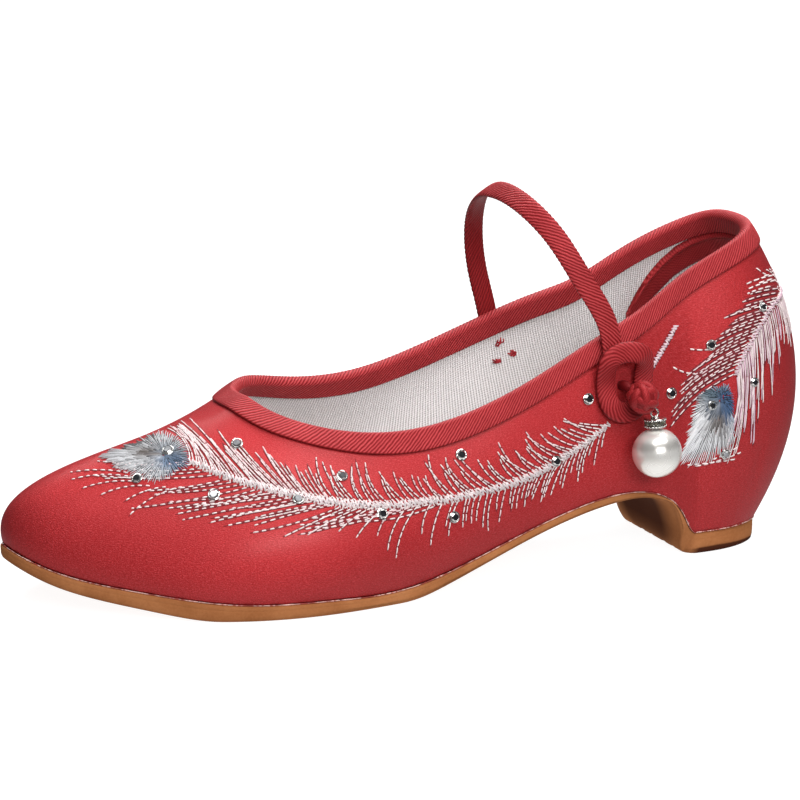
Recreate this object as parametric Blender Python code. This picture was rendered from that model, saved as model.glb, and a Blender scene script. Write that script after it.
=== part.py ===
"""Left hanfu shoe: a hollow satin upper over a heeled rubber sole, with a bound collar, an instep strap,
a frog loop, a knot button and a pearl pendant.

Sizes are millimetres in the shoe's own frame: x runs from the back of the heel to the toe, y to the
outer (lateral) side of the left shoe, z up from the floor. place() moves them into the part's frame in metres.
"""
import math

import bmesh
import bpy
import numpy as np

# ---------------------------------------------------------------- driving sizes (mm, degrees)
FRAME_X, FRAME_Y = 122.83, -0.98     # middle of the standing shoe, in the shoe's own frame
WALL = 1.8                         # satin, backing and canvas lining together
GAP = 0.3                          # between curved pieces that meet
INSOLE_THICK = 2.2
INSOLE_EDGE = 0.4                  # insole edge to lining
SOLE_EDGE_ROUND = 0.8              # broken edge round the tread
HEEL_SECTIONS = 3                  # sections 0..3 stand on the lift
RING = 96                          # stations round the shoe
RISE = 10                          # levels from feather edge to collar

BIND_LEG, BIND_THICK, BIND_GAP = 6.0, 0.7, 0.25
STRAP_WIDE, STRAP_THICK = 6.3, 1.8
LOOP_WIDE, LOOP_THICK = 5.8, 2.4
LOOP_CLEAR = 0.55                  # flat band over the rounded wall

KNOT_R, NECK_R = 4.7, 1.5
STAPLE_R, STAPLE_HALF = 0.4, 1.2   # thread staple under the knot that carries the pendant
EYE_R, EYE_WIRE = 1.2, 0.3
PIN_R, PIN_CLEAR = 0.45, 0.08
RONDELLE_R, RONDELLE_H = 3.55, 2.9
PEARL_R, PEARL_BORE_DEPTH = 7.35, 5.0

# One row for each section, heel to toe. foot: feather edge of the upper. tread: lower edge of the sole.
# welt: how far the sole stands out. bed: underside of the insole. rim: collar edge.
# lean and pull: direction (from upright) and length of the wall's handles at feather edge and rim.
COLUMNS = ("foot_x", "foot_y_out", "foot_y_in", "foot_z", "tread_x", "tread_z", "welt", "bed_z",
           "rim_x", "rim_y_out", "rim_y_in", "rim_z_out", "rim_z_in",
           "foot_lean", "foot_pull", "rim_lean", "rim_pull")
SECTIONS = {
    "heel_back":   (12.8, 0.0, 0.0, 6.8, 13.2, 0.0, -0.3, 32.0, 15.2, 0.0, 0.0, 97.2, 97.2, 33, 34, 32, 36),
    "heel_curve":  (15.6, 14.8, 14.8, 6.8, 15.9, 0.0, -0.3, 32.0, 17.8, 13.2, 13.2, 96.2, 96.0, 29, 34, 31, 36),
    "heel_side":   (28.8, 23.2, 22.6, 6.8, 29.0, 0.0, -0.2, 31.5, 28.0, 19.8, 19.8, 92.0, 91.6, 17, 30, 23, 32),
    "breast_foot": (40.2, 24.3, 23.2, 6.8, 42.0, 0.0, 0.0, 30.3, 43.0, 21.6, 21.6, 85.0, 84.9, 12, 26, 18, 27),
    "breast":      (47.0, 26.3, 24.4, 16.5, 49.2, 15.0, 0.2, 28.0, 58.2, 23.5, 23.6, 75.6, 76.5, 11, 17, 16, 19),
    "arch_top":    (65.0, 28.8, 25.0, 22.8, 65.4, 20.4, 0.4, 22.8, 74.5, 25.3, 25.6, 68.0, 71.2, 12, 12, 15, 14),
    "waist":       (96.5, 30.6, 24.8, 15.7, 96.0, 13.0, 0.6, 15.7, 98.5, 27.2, 27.4, 56.8, 62.5, 20, 14, 16, 14),
    "joint_back":  (133.0, 35.8, 34.0, 5.0, 132.6, 1.4, 0.8, 5.0, 125.5, 27.8, 27.8, 48.6, 54.2, 25, 18, 21, 18),
    "ball":        (162.5, 40.0, 43.0, 4.2, 162.5, -0.5, 0.8, 4.2, 148.7, 25.2, 25.7, 48.0, 53.6, 25, 18, 37, 20),
    "vamp":        (189.0, 36.5, 43.0, 4.9, 189.0, -0.4, 0.8, 4.9, 165.5, 19.7, 20.6, 51.7, 56.6, 22, 16, 50, 22),
    "toe_side":    (213.0, 24.0, 36.5, 7.8, 213.0, 2.9, 0.8, 7.8, 173.2, 12.1, 13.1, 55.0, 56.6, 19, 16, 56, 24),
    "toe_corner":  (234.7, 7.4, 25.5, 12.2, 234.6, 7.7, 0.8, 12.2, 175.9, 6.0, 6.5, 57.0, 56.8, 17, 19, 61, 27),
    "toe_tip":     (245.0, -9.8, 9.8, 17.2, 244.6, 12.9, 0.8, 17.2, 176.2, 0.0, 0.0, 56.8, 56.8, 16, 24, 64, 30),
}

# Middle line of the strap, from its sewn end on the inner side to the loop on the outer side.
STRAP_COLUMNS = ("x", "y", "z", "turn")   # turn: degrees that the toe edge hangs below the heel edge
STRAP_FOLDS = {
    "sewn_end":     (83.4, -29.6, 54.5, 0.0),
    "inner_rim":    (84.2, -29.8, 66.0, 0.0),
    "inner_rise":   (87.4, -30.4, 81.0, 0.0),
    "inner_bend":   (89.9, -27.0, 97.0, 6.0),
    "crown_inner":  (91.9, -14.5, 107.8, 28.0),
    "crown":        (92.4, -1.0, 110.6, 45.0),
    "crown_outer":  (90.2, 12.5, 108.0, 42.0),
    "outer_bend":   (85.4, 20.4, 101.0, 30.0),
    "outer_fall":   (77.6, 26.4, 86.4, 14.0),
    "outer_rim":    (70.6, 28.2, 72.0, 0.0),
    "tucked_end":   (69.8, 28.7, 63.6, 0.0),
}

# Frog loop on the outer wall: turns of its middle line, by x and z on the wall.
LOOP_COLUMNS = ("x", "z")
LOOP_OVER_STRAP_Z = 61.0           # turns above this lie over the strap's end and the binding
LOOP_TURNS = {
    "top_front":  (72.0, 62.8),
    "top":        (67.0, 64.9),
    "top_back":   (61.4, 63.6),
    "back":       (59.9, 58.0),
    "low_back":   (61.6, 50.2),
    "low":        (66.8, 47.6),
    "low_front":  (71.4, 50.4),
    "front":      (72.4, 56.8),
}

KNOT_AT = (64.0, 52.2)             # x and z of the knot's middle
KNOT_OFF_WALL = 8.4                # knot's middle to the satin
NECK_AT = (66.4, 55.4)             # x and z where the knot's neck is sewn on
STAPLE_DIRECTION = -130.0          # from the knot's middle to the staple, in the x-z plane
PENDANT_LEAN = 2.0                 # pendant's lean towards the heel as it hangs
WALL_TILT = 4.2                    # pendant's lean away from the wall

# ---------------------------------------------------------------- ring functions
TABLE = np.array(list(SECTIONS.values()), float)
TURN = 2 * (len(TABLE) - 1)        # ring parameter u: 0 heel back, 12 toe tip, outer side first


def column(name):
    return TABLE[:, COLUMNS.index(name)]


def ring_spline(outer_side, inner_side):
    """Closed cubic spline through the sections' values: out along the outer side, back along the inner side."""
    knots = np.concatenate([outer_side, inner_side[-2:0:-1]])
    count = len(knots)
    one = np.eye(count)
    slopes = np.linalg.solve(4 * one + np.roll(one, 1, 0) + np.roll(one, -1, 0),
                             3 * (np.roll(knots, -1) - np.roll(knots, 1)))

    def at(u):
        u = np.asarray(u, float)
        i = np.floor(u).astype(int)
        t = u - i
        i, j = i % count, (i + 1) % count
        return ((2 * t**3 - 3 * t**2 + 1) * knots[i] + (t**3 - 2 * t**2 + t) * slopes[i]
                + (3 * t**2 - 2 * t**3) * knots[j] + (t**3 - t**2) * slopes[j])
    return at


def same(name):
    return ring_spline(column(name), column(name))


def sided(name):
    sign = -1 if "_y" in name else 1
    return ring_spline(column(name + "_out"), sign * column(name + "_in"))


FOOT_X, FOOT_Y, FOOT_Z = same("foot_x"), sided("foot_y"), same("foot_z")
TREAD_X, TREAD_Z, WELT, BED_Z = same("tread_x"), same("tread_z"), same("welt"), same("bed_z")
RIM_X, RIM_Y, RIM_Z = same("rim_x"), sided("rim_y"), sided("rim_z")
FOOT_LEAN, FOOT_PULL = same("foot_lean"), same("foot_pull")
RIM_LEAN, RIM_PULL = same("rim_lean"), same("rim_pull")


def on_lift(u):
    turned = np.mod(np.asarray(u, float), TURN)
    return np.minimum(turned, TURN - turned) <= HEEL_SECTIONS


def foot(u):
    lift_top = SECTIONS["heel_back"][COLUMNS.index("foot_z")]
    return np.stack([FOOT_X(u), FOOT_Y(u), np.where(on_lift(u), lift_top, FOOT_Z(u))], -1)


def rim(u):
    return np.stack([RIM_X(u), RIM_Y(u), RIM_Z(u)], -1)


def plan_outward(curve, u, step=0.01):
    d = curve(u + step) - curve(u - step)
    n = np.stack([-d[..., 1], d[..., 0], 0 * d[..., 0]], -1)
    return n / np.linalg.norm(n, axis=-1, keepdims=True)


def outer(u, v):
    """Outside of the upper: u round the shoe, v from feather edge (0) to collar (1)."""
    up = np.array([0.0, 0.0, 1.0])
    v = np.asarray(v, float)[..., None]
    low, high = foot(u), rim(u)
    a, b = np.radians(FOOT_LEAN(u))[..., None], np.radians(RIM_LEAN(u))[..., None]
    low_handle = low + FOOT_PULL(u)[..., None] * (np.sin(a) * plan_outward(foot, u) + np.cos(a) * up)
    high_handle = high + RIM_PULL(u)[..., None] * (np.sin(b) * plan_outward(rim, u) - np.cos(b) * up)
    return ((1 - v)**3 * low + 3 * v * (1 - v)**2 * low_handle + 3 * v**2 * (1 - v) * high_handle + v**3 * high)


def outward(u, v, step=0.01):
    along = outer(u + step, v) - outer(u - step, v)
    lower, upper = np.maximum(v - step, 0), np.minimum(v + step, 1)
    n = np.cross(outer(u, upper) - outer(u, lower), along)
    return n / np.linalg.norm(n, axis=-1, keepdims=True)


def shell(u, v, depth=0.0):
    """Point at a depth under the outside of the upper (negative: standing off it)."""
    return outer(u, v) - depth * outward(u, v)


def level(u, z, depth):
    """Point of the wall at a height, per station, at a depth under the outside."""
    grid = np.linspace(0, 1, 81)
    found = []
    for one_u, one_z in zip(np.atleast_1d(u), np.atleast_1d(z)):
        heights = shell(np.full(81, one_u), grid, depth)[:, 2]
        v = 0.0 if one_z <= heights[0] else float(np.interp(one_z, heights, grid))
        p = shell(np.array(one_u), np.array(v), depth)
        p[2] = one_z
        found.append(p)
    return np.array(found)


def from_rim(u, distance, depth):
    """Point of the wall at a distance below the collar edge."""
    grid = np.linspace(0.6, 1, 41)
    found = []
    for one_u in np.atleast_1d(u):
        run = shell(np.full(41, one_u), grid, depth)
        left = np.concatenate([[0], np.cumsum(np.linalg.norm(np.diff(run[::-1], axis=0), axis=1))])
        v = float(np.interp(distance, left, grid[::-1]))
        found.append(shell(np.array(one_u), np.array(v), depth))
    return np.array(found)


def outer_wall(x, z, off=0.0):
    """Point standing off the outer (lateral) wall at a given x and z of the satin, with its outward direction."""
    u, v = 4.6, 0.6
    for _ in range(30):
        here = outer(np.array(u), np.array(v))
        du = (outer(np.array(u + 1e-3), np.array(v)) - here) / 1e-3
        dv = (outer(np.array(u), np.array(v + 1e-3)) - here) / 1e-3
        move = np.linalg.solve([[du[0], dv[0]], [du[2], dv[2]]], [x - here[0], z - here[2]])
        u, v = u + float(np.clip(move[0], -0.5, 0.5)), v + float(np.clip(move[1], -0.2, 0.2))
    n = outward(np.array(u), np.array(v))
    return outer(np.array(u), np.array(v)) + off * n, n


def smooth_path(points, count, closed=False):
    """Even points on a cubic spline through a few points."""
    points = np.asarray(points, float)
    if closed:
        splines = [ring_spline_plain(points[:, k]) for k in range(3)]
        dense = np.stack([s(np.linspace(0, len(points), 40 * len(points), endpoint=False)) for s in splines], -1)
        dense = np.concatenate([dense, dense[:1]])
    else:
        steps = np.concatenate([[0], np.cumsum(np.linalg.norm(np.diff(points, axis=0), axis=1))])
        n = len(points)
        system, right = np.zeros((n, n)), np.zeros((n, 3))
        system[0, 0] = system[-1, -1] = 1.0
        for i in range(1, n - 1):
            before, after = steps[i] - steps[i - 1], steps[i + 1] - steps[i]
            system[i, i - 1:i + 2] = before, 2 * (before + after), after
            right[i] = 6 * ((points[i + 1] - points[i]) / after - (points[i] - points[i - 1]) / before)
        bend = np.linalg.solve(system, right)
        at = np.linspace(0, steps[-1], 800)
        k = np.clip(np.searchsorted(steps, at, side="right") - 1, 0, n - 2)
        h = (steps[k + 1] - steps[k])[:, None]
        a, b = (steps[k + 1] - at)[:, None] / h, (at - steps[k])[:, None] / h
        dense = a * points[k] + b * points[k + 1] + ((a**3 - a) * bend[k] + (b**3 - b) * bend[k + 1]) * h**2 / 6
    run = np.concatenate([[0], np.cumsum(np.linalg.norm(np.diff(dense, axis=0), axis=1))])
    at = np.linspace(0, run[-1], count, endpoint=not closed)
    return np.stack([np.interp(at, run, dense[:, k]) for k in range(3)], -1)


def ring_spline_plain(values):
    half = len(values) // 2
    return ring_spline(values[:half + 1], np.concatenate([values[:1], values[:half:-1], values[half:half + 1]]))


def unit(a):
    return a / np.linalg.norm(a, axis=-1, keepdims=True)


# ---------------------------------------------------------------- solids
def place(points):
    return (np.asarray(points, float) - [FRAME_X, FRAME_Y, 0.0]) * 0.001


def make(name, points, faces, colour, rough, metal=0.0):
    mesh = bpy.data.meshes.new(name)
    mesh.from_pydata([tuple(p) for p in place(points)], [], [tuple(int(i) for i in f) for f in faces])
    work = bmesh.new()
    work.from_mesh(mesh)
    bmesh.ops.remove_doubles(work, verts=work.verts, dist=1e-6)
    bmesh.ops.dissolve_degenerate(work, edges=work.edges, dist=1e-7)
    bmesh.ops.recalc_face_normals(work, faces=work.faces)
    work.to_mesh(mesh)
    work.free()
    thing = bpy.data.objects.new(name, mesh)
    bpy.context.collection.objects.link(thing)
    finish = bpy.data.materials.new(name)
    finish.use_nodes = True
    shader = finish.node_tree.nodes["Principled BSDF"]
    shader.inputs["Base Color"].default_value = (*colour, 1.0)
    shader.inputs["Roughness"].default_value = rough
    shader.inputs["Metallic"].default_value = metal
    mesh.materials.append(finish)
    return thing


def loft(sections, closed=False, capped=True):
    """Points and faces of a solid through closed sections with equal numbers of points."""
    sections = np.asarray(sections, float)
    rows, size = sections.shape[:2]
    faces = []
    for r in range(rows if closed else rows - 1):
        s = (r + 1) % rows
        for k in range(size):
            m = (k + 1) % size
            faces.append((r * size + k, r * size + m, s * size + m, s * size + k))
    if capped and not closed:
        faces.append(tuple(range(size - 1, -1, -1)))
        faces.append(tuple((rows - 1) * size + k for k in range(size)))
    return sections.reshape(-1, 3), faces


def across(a, b, parts):
    return [a + (b - a) * k / parts for k in range(parts + 1)]


STEP = TURN / RING
HALF = RING // 2


def build_upper():
    u = np.repeat(np.arange(RING) * STEP, RISE).reshape(RING, RISE)
    v = np.tile(np.linspace(0, 1, RISE), (RING, 1))
    out, inn = shell(u, v), shell(u, v, WALL)
    return loft(np.concatenate([out, inn[:, ::-1]], axis=1), closed=True)


def build_outsole():
    sections = []
    for k in range(HALF + 1):
        sides = []
        for u in (k * STEP, TURN - k * STEP):
            u = np.array(u)
            n = plan_outward(foot, u)
            top, low = foot(u), np.array([TREAD_X(u), FOOT_Y(u), 0.0 if on_lift(u) else max(float(TREAD_Z(u)), 0.0)])
            down = unit(low - top)
            top, low = top + WELT(u) * n + GAP * down, low + WELT(u) * n
            sides.append((top, low - SOLE_EDGE_ROUND * down, low - SOLE_EDGE_ROUND * n))
        (top_o, side_o, low_o), (top_i, side_i, low_i) = sides
        sections.append(across(top_o, top_i, 4) + [side_i] + across(low_i, low_o, 4) + [side_o])
    return loft(sections, capped=False)


def bed_z(u):
    """Height of the insole's underside: never under the feather edge."""
    return np.maximum(BED_Z(u), FOOT_Z(u))


def bed(k, lift, depth):
    """Outer and inner side points of the footbed at station k."""
    u = np.array([k * STEP, TURN - k * STEP])
    return level(u, bed_z(u) + lift, depth)


def build_insole():
    sections = []
    for k in range(HALF + 1):
        low_o, low_i = bed(k, 0.0, WALL + INSOLE_EDGE)
        top_o, top_i = bed(k, INSOLE_THICK, WALL + INSOLE_EDGE)
        sections.append(across(top_o, top_i, 4) + across(low_i, low_o, 4))
    return loft(sections, capped=False)


def build_heel():
    sections = []
    for k in range(HALF):
        ends = np.array([k * STEP, TURN - k * STEP])
        low = shell(ends, np.zeros(2), WALL + GAP)
        top_z = bed_z(ends) - GAP
        if np.any(top_z - low[:, 2] < 1.5):
            break
        rise = [level(ends, low[:, 2] + (top_z - low[:, 2]) * f, WALL + GAP) for f in (1 / 3, 2 / 3, 1.0)]
        sections.append(across(low[0], low[1], 3) + [rise[0][1], rise[1][1]]
                        + across(rise[2][1], rise[2][0], 3) + [rise[1][0], rise[0][0]])
    points, faces = loft(sections, capped=False)
    size = len(sections[0])
    faces.append(tuple((len(sections) - 1) * size + k for k in range(size)))
    return points, faces


def build_binding():
    u = np.arange(RING) * STEP
    near, far = BIND_GAP, BIND_GAP + BIND_THICK
    rise = unit(from_rim(u, 0.0, WALL / 2) - from_rim(u, 2.0, WALL / 2))
    edge_out, edge_in = from_rim(u, 0.0, -near), from_rim(u, 0.0, WALL + near)
    legs = [from_rim(u, BIND_LEG, -far), from_rim(u, 0.3, -far),
            from_rim(u, 0.0, 0.4) + far * rise, from_rim(u, 0.0, WALL - 0.4) + far * rise,
            from_rim(u, 0.3, WALL + far), from_rim(u, BIND_LEG, WALL + far),
            from_rim(u, BIND_LEG, WALL + near), edge_in + near * rise, edge_out + near * rise,
            from_rim(u, BIND_LEG, -near)]
    return loft(np.stack(legs, axis=1), closed=True)


def band(path, across_way, wide, thick, closed=False):
    """Flat folded band with rounded edges along a path; across_way is the wide direction at each point."""
    ahead = np.roll(path, -1, 0) - np.roll(path, 1, 0)
    if not closed:
        ahead[0], ahead[-1] = path[1] - path[0], path[-1] - path[-2]
    ahead = unit(ahead)
    side = unit(across_way - np.sum(across_way * ahead, -1, keepdims=True) * ahead)
    proud = np.cross(ahead, side)
    profile = [(-0.5, 0.0), (-0.42, 0.36), (0.0, 0.5), (0.42, 0.36), (0.5, 0.0), (0.42, -0.36), (0.0, -0.5), (-0.42, -0.36)]
    return loft(np.stack([path + wide * a * side + thick * b * proud for a, b in profile], axis=1), closed=closed)


def build_strap():
    folds = np.array(list(STRAP_FOLDS.values()))
    path = smooth_path(folds[:, :3], 44)
    reach = np.concatenate([[0], np.cumsum(np.linalg.norm(np.diff(folds[:, :3], axis=0), axis=1))])
    turn = np.radians(np.interp(np.linspace(0, 1, len(path)), reach / reach[-1], folds[:, 3]))[:, None]
    ahead = unit(np.gradient(path, axis=0))
    level = unit(np.array([1.0, 0.0, 0.0]) - ahead[:, :1] * ahead)
    across = np.cos(turn) * level - np.sin(turn) * np.cross(level, ahead)
    return band(path, across, STRAP_WIDE, STRAP_THICK)


def build_loop():
    turns, normals = [], []
    for x, z in LOOP_TURNS.values():
        over_strap = 2 * GAP + STRAP_THICK + BIND_GAP + BIND_THICK if z > LOOP_OVER_STRAP_Z else 0.0
        stand = LOOP_THICK / 2 + LOOP_CLEAR + over_strap
        point, n = outer_wall(x, z, stand)
        turns.append(point)
        normals.append(n)
    path = smooth_path(turns, 44, closed=True)
    proud = unit(np.mean(normals, axis=0))
    ahead = unit(np.roll(path, -1, 0) - np.roll(path, 1, 0))
    return band(path, np.cross(proud, ahead), LOOP_WIDE, LOOP_THICK, closed=True)


def ball(middle, radius, rings=10, around=16):
    """Closed sphere as stacked rings with a point at each pole."""
    points = [middle + np.array([0, 0, -radius])]
    for r in range(1, rings):
        t = math.pi * r / rings
        for a in range(around):
            w = 2 * math.pi * a / around
            points.append(middle + radius * np.array([math.sin(t) * math.cos(w), math.sin(t) * math.sin(w), -math.cos(t)]))
    points.append(middle + np.array([0, 0, radius]))
    top = len(points) - 1
    faces = []
    for a in range(around):
        b = (a + 1) % around
        faces.append((0, 1 + b, 1 + a))
        faces.append((top, top - around + a, top - around + b))
        for r in range(rings - 2):
            s = 1 + r * around
            faces.append((s + a, s + b, s + around + b, s + around + a))
    return np.array(points), faces


def rod(path, radius, around=8, closed=False):
    """Round rod along a path."""
    path = np.asarray(path, float)
    ahead = np.roll(path, -1, 0) - np.roll(path, 1, 0)
    if not closed:
        ahead[0], ahead[-1] = path[1] - path[0], path[-1] - path[-2]
    ahead = unit(ahead)
    guide = np.array([0.31, 0.17, 0.94]) if not closed else unit(np.cross(ahead[0], ahead[len(path) // 4]))
    one = unit(np.cross(ahead, guide))
    two = np.cross(ahead, one)
    turn = [2 * math.pi * a / around for a in range(around)]
    return loft(np.stack([path + radius * (math.cos(w) * one + math.sin(w) * two) for w in turn], axis=1), closed=closed)


def lathe(base, axis, profile, around):
    """Turned piece: profile rows of distance along the axis and radius; radius 0 closes on the axis."""
    axis = unit(np.asarray(axis, float))
    one = unit(np.cross(axis, [0.31, 0.17, 0.94]))
    two = np.cross(axis, one)
    sections = [[base + h * axis + r * (math.cos(2 * math.pi * a / around) * one + math.sin(2 * math.pi * a / around) * two)
                 for a in range(around)] for h, r in profile]
    closes = profile[0][1] > 0
    return loft(sections, closed=closes, capped=False)


def join(first, others):
    for other in others:
        union = first.modifiers.new("join", "BOOLEAN")
        union.operation = "UNION"
        union.solver = "EXACT"
        union.object = other
        bpy.context.view_layer.objects.active = first
        bpy.context.view_layer.update()
        depsgraph = bpy.context.evaluated_depsgraph_get()
        joined = bpy.data.meshes.new_from_object(first.evaluated_get(depsgraph))
        first.modifiers.clear()
        first.data = joined
        bpy.data.objects.remove(other)
    return first


def knot_places():
    wall, n = outer_wall(KNOT_AT[0], KNOT_AT[1])
    middle = wall + KNOT_OFF_WALL * n
    n_flat = unit(np.array([n[0], n[1], 0.0]))
    turn = math.radians(STAPLE_DIRECTION)
    along = np.cross(n_flat, [0.0, 0.0, 1.0])          # level direction in the wall, towards the toe
    if along[0] < 0:
        along = -along
    ray = math.cos(turn) * along + math.sin(turn) * np.array([0.0, 0.0, 1.0])
    reach = KNOT_R + (2 * EYE_WIRE + STAPLE_R + 0.3)
    pivot = middle + reach * ray
    hang = unit(-np.array([0.0, 0.0, 1.0]) - math.tan(math.radians(PENDANT_LEAN)) * along
                + math.tan(math.radians(WALL_TILT)) * n_flat)
    return middle, n_flat, ray, pivot, hang


def build_knot():
    middle, n, ray, pivot, hang = knot_places()
    satin = (0.46, 0.03, 0.04)
    body = make("knot_button", *ball(middle, KNOT_R), satin, 0.7)
    neck_foot, neck_n = outer_wall(NECK_AT[0], NECK_AT[1], 3 * GAP)
    neck = make("neck", *rod([neck_foot, neck_foot + 0.5 * (middle - neck_foot), middle], NECK_R, 10), satin, 0.7)
    wide = STAPLE_HALF * n
    inside = middle + 0.75 * KNOT_R * ray
    legs = [inside + wide, pivot + wide - 0.35 * ray, pivot + 0.8 * wide, pivot, pivot - 0.8 * wide,
            pivot - wide - 0.35 * ray, inside - wide]
    staple = make("staple", *rod(legs, STAPLE_R, 8), satin, 0.7)
    join(body, [neck, staple])


def build_pendant():
    middle, n, ray, pivot, hang = knot_places()
    silver = (0.75, 0.75, 0.74)
    eye_middle = pivot + (EYE_R - EYE_WIRE - STAPLE_R - 0.05) * hang
    side = np.cross(n, hang)
    ring = [eye_middle + EYE_R * (math.cos(w) * hang + math.sin(w) * side)
            for w in np.linspace(0, 2 * math.pi, 20, endpoint=False)]
    eye = make("pendant_eye", *rod(ring, EYE_WIRE, 8, closed=True), silver, 0.25, 1.0)
    rondelle_top = eye_middle + (EYE_R + EYE_WIRE) * hang
    pearl_top = rondelle_top + (RONDELLE_H + 0.15) * hang
    pin_end = pearl_top + (PEARL_BORE_DEPTH - 0.4) * hang
    pin = make("pin", *rod([eye_middle + EYE_R * hang, 0.5 * (rondelle_top + pin_end), pin_end], PIN_R, 8), silver, 0.25, 1.0)
    join(eye, [pin])
    hole = PIN_R + PIN_CLEAR
    rim_profile = [(0.0, hole), (0.0, 0.72 * RONDELLE_R), (0.22 * RONDELLE_H, 0.94 * RONDELLE_R), (0.5 * RONDELLE_H, RONDELLE_R),
                   (0.78 * RONDELLE_H, 0.94 * RONDELLE_R), (RONDELLE_H, 0.72 * RONDELLE_R), (RONDELLE_H, hole)]
    make("rondelle", *lathe(rondelle_top, hang, rim_profile, 20), (0.62, 0.62, 0.6), 0.3, 1.0)
    first = math.asin(hole / PEARL_R)
    profile = [(PEARL_BORE_DEPTH, 0.0), (PEARL_BORE_DEPTH, hole)]
    profile += [(PEARL_R * (1 - math.cos(t)), PEARL_R * math.sin(t)) for t in np.linspace(first, math.pi, 14)[:-1]]
    profile += [(2 * PEARL_R, 0.0)]
    make("pearl", *lathe(pearl_top, hang, profile, 24), (0.86, 0.84, 0.79), 0.18)


def build():
    for old in list(bpy.data.objects):
        bpy.data.objects.remove(old)
    make("outsole", *build_outsole(), (0.36, 0.16, 0.07), 0.6)
    make("heel", *build_heel(), (0.42, 0.3, 0.2), 0.8)
    make("upper", *build_upper(), (0.55, 0.04, 0.05), 0.45)
    make("insole", *build_insole(), (0.72, 0.7, 0.66), 0.9)
    make("collar_binding", *build_binding(), (0.5, 0.035, 0.045), 0.75)
    make("strap", *build_strap(), (0.5, 0.035, 0.045), 0.75)
    make("button_loop", *build_loop(), (0.48, 0.03, 0.04), 0.75)
    build_knot()
    build_pendant()


build()
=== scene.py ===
"""Looks of the left hanfu shoe: red satin, twill binding, canvas lining, gum sole, feather embroidery, stones and pearl.

Sizes are millimetres in the shoe's own frame, as in the part's source: x from the back of the heel to the toe,
y to the outer side, z up from the floor. place() moves them into the part's frame in metres.
"""
import math

import bpy
import numpy as np
from mathutils import Matrix, Vector
from mathutils.kdtree import KDTree


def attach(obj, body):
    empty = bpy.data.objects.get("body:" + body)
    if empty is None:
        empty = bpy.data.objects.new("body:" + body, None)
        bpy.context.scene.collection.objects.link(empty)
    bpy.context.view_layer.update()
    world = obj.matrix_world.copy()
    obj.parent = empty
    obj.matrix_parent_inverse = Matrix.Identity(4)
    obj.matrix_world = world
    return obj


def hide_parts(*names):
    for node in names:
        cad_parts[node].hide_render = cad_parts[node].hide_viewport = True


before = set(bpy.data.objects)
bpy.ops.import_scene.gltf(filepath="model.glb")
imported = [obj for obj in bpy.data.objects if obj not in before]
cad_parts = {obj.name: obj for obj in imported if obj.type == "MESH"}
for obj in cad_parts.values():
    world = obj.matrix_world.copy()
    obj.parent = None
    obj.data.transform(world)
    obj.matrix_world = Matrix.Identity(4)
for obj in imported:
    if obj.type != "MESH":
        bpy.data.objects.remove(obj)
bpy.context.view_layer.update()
rng = np.random.default_rng(20)

# ================================================================ sizes shared with the solids (mm, degrees)
FRAME_X, FRAME_Y = 122.83, -0.98
WALL, GAP = 1.8, 0.3
INSOLE_THICK, INSOLE_EDGE = 2.2, 0.4
HEEL_SECTIONS = 3
BIND_LEG, BIND_THICK, BIND_GAP = 6.0, 0.7, 0.25
STRAP_WIDE, STRAP_THICK = 6.3, 1.8
LOOP_WIDE, LOOP_THICK, LOOP_CLEAR = 5.8, 2.4, 0.55
KNOT_R, NECK_R = 4.7, 1.5
STAPLE_R, STAPLE_HALF = 0.4, 1.2
EYE_R, EYE_WIRE = 1.2, 0.3
PIN_R, PIN_CLEAR = 0.45, 0.08
RONDELLE_R, RONDELLE_H = 3.55, 2.9
PEARL_R, PEARL_BORE_DEPTH = 7.35, 5.0

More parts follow.
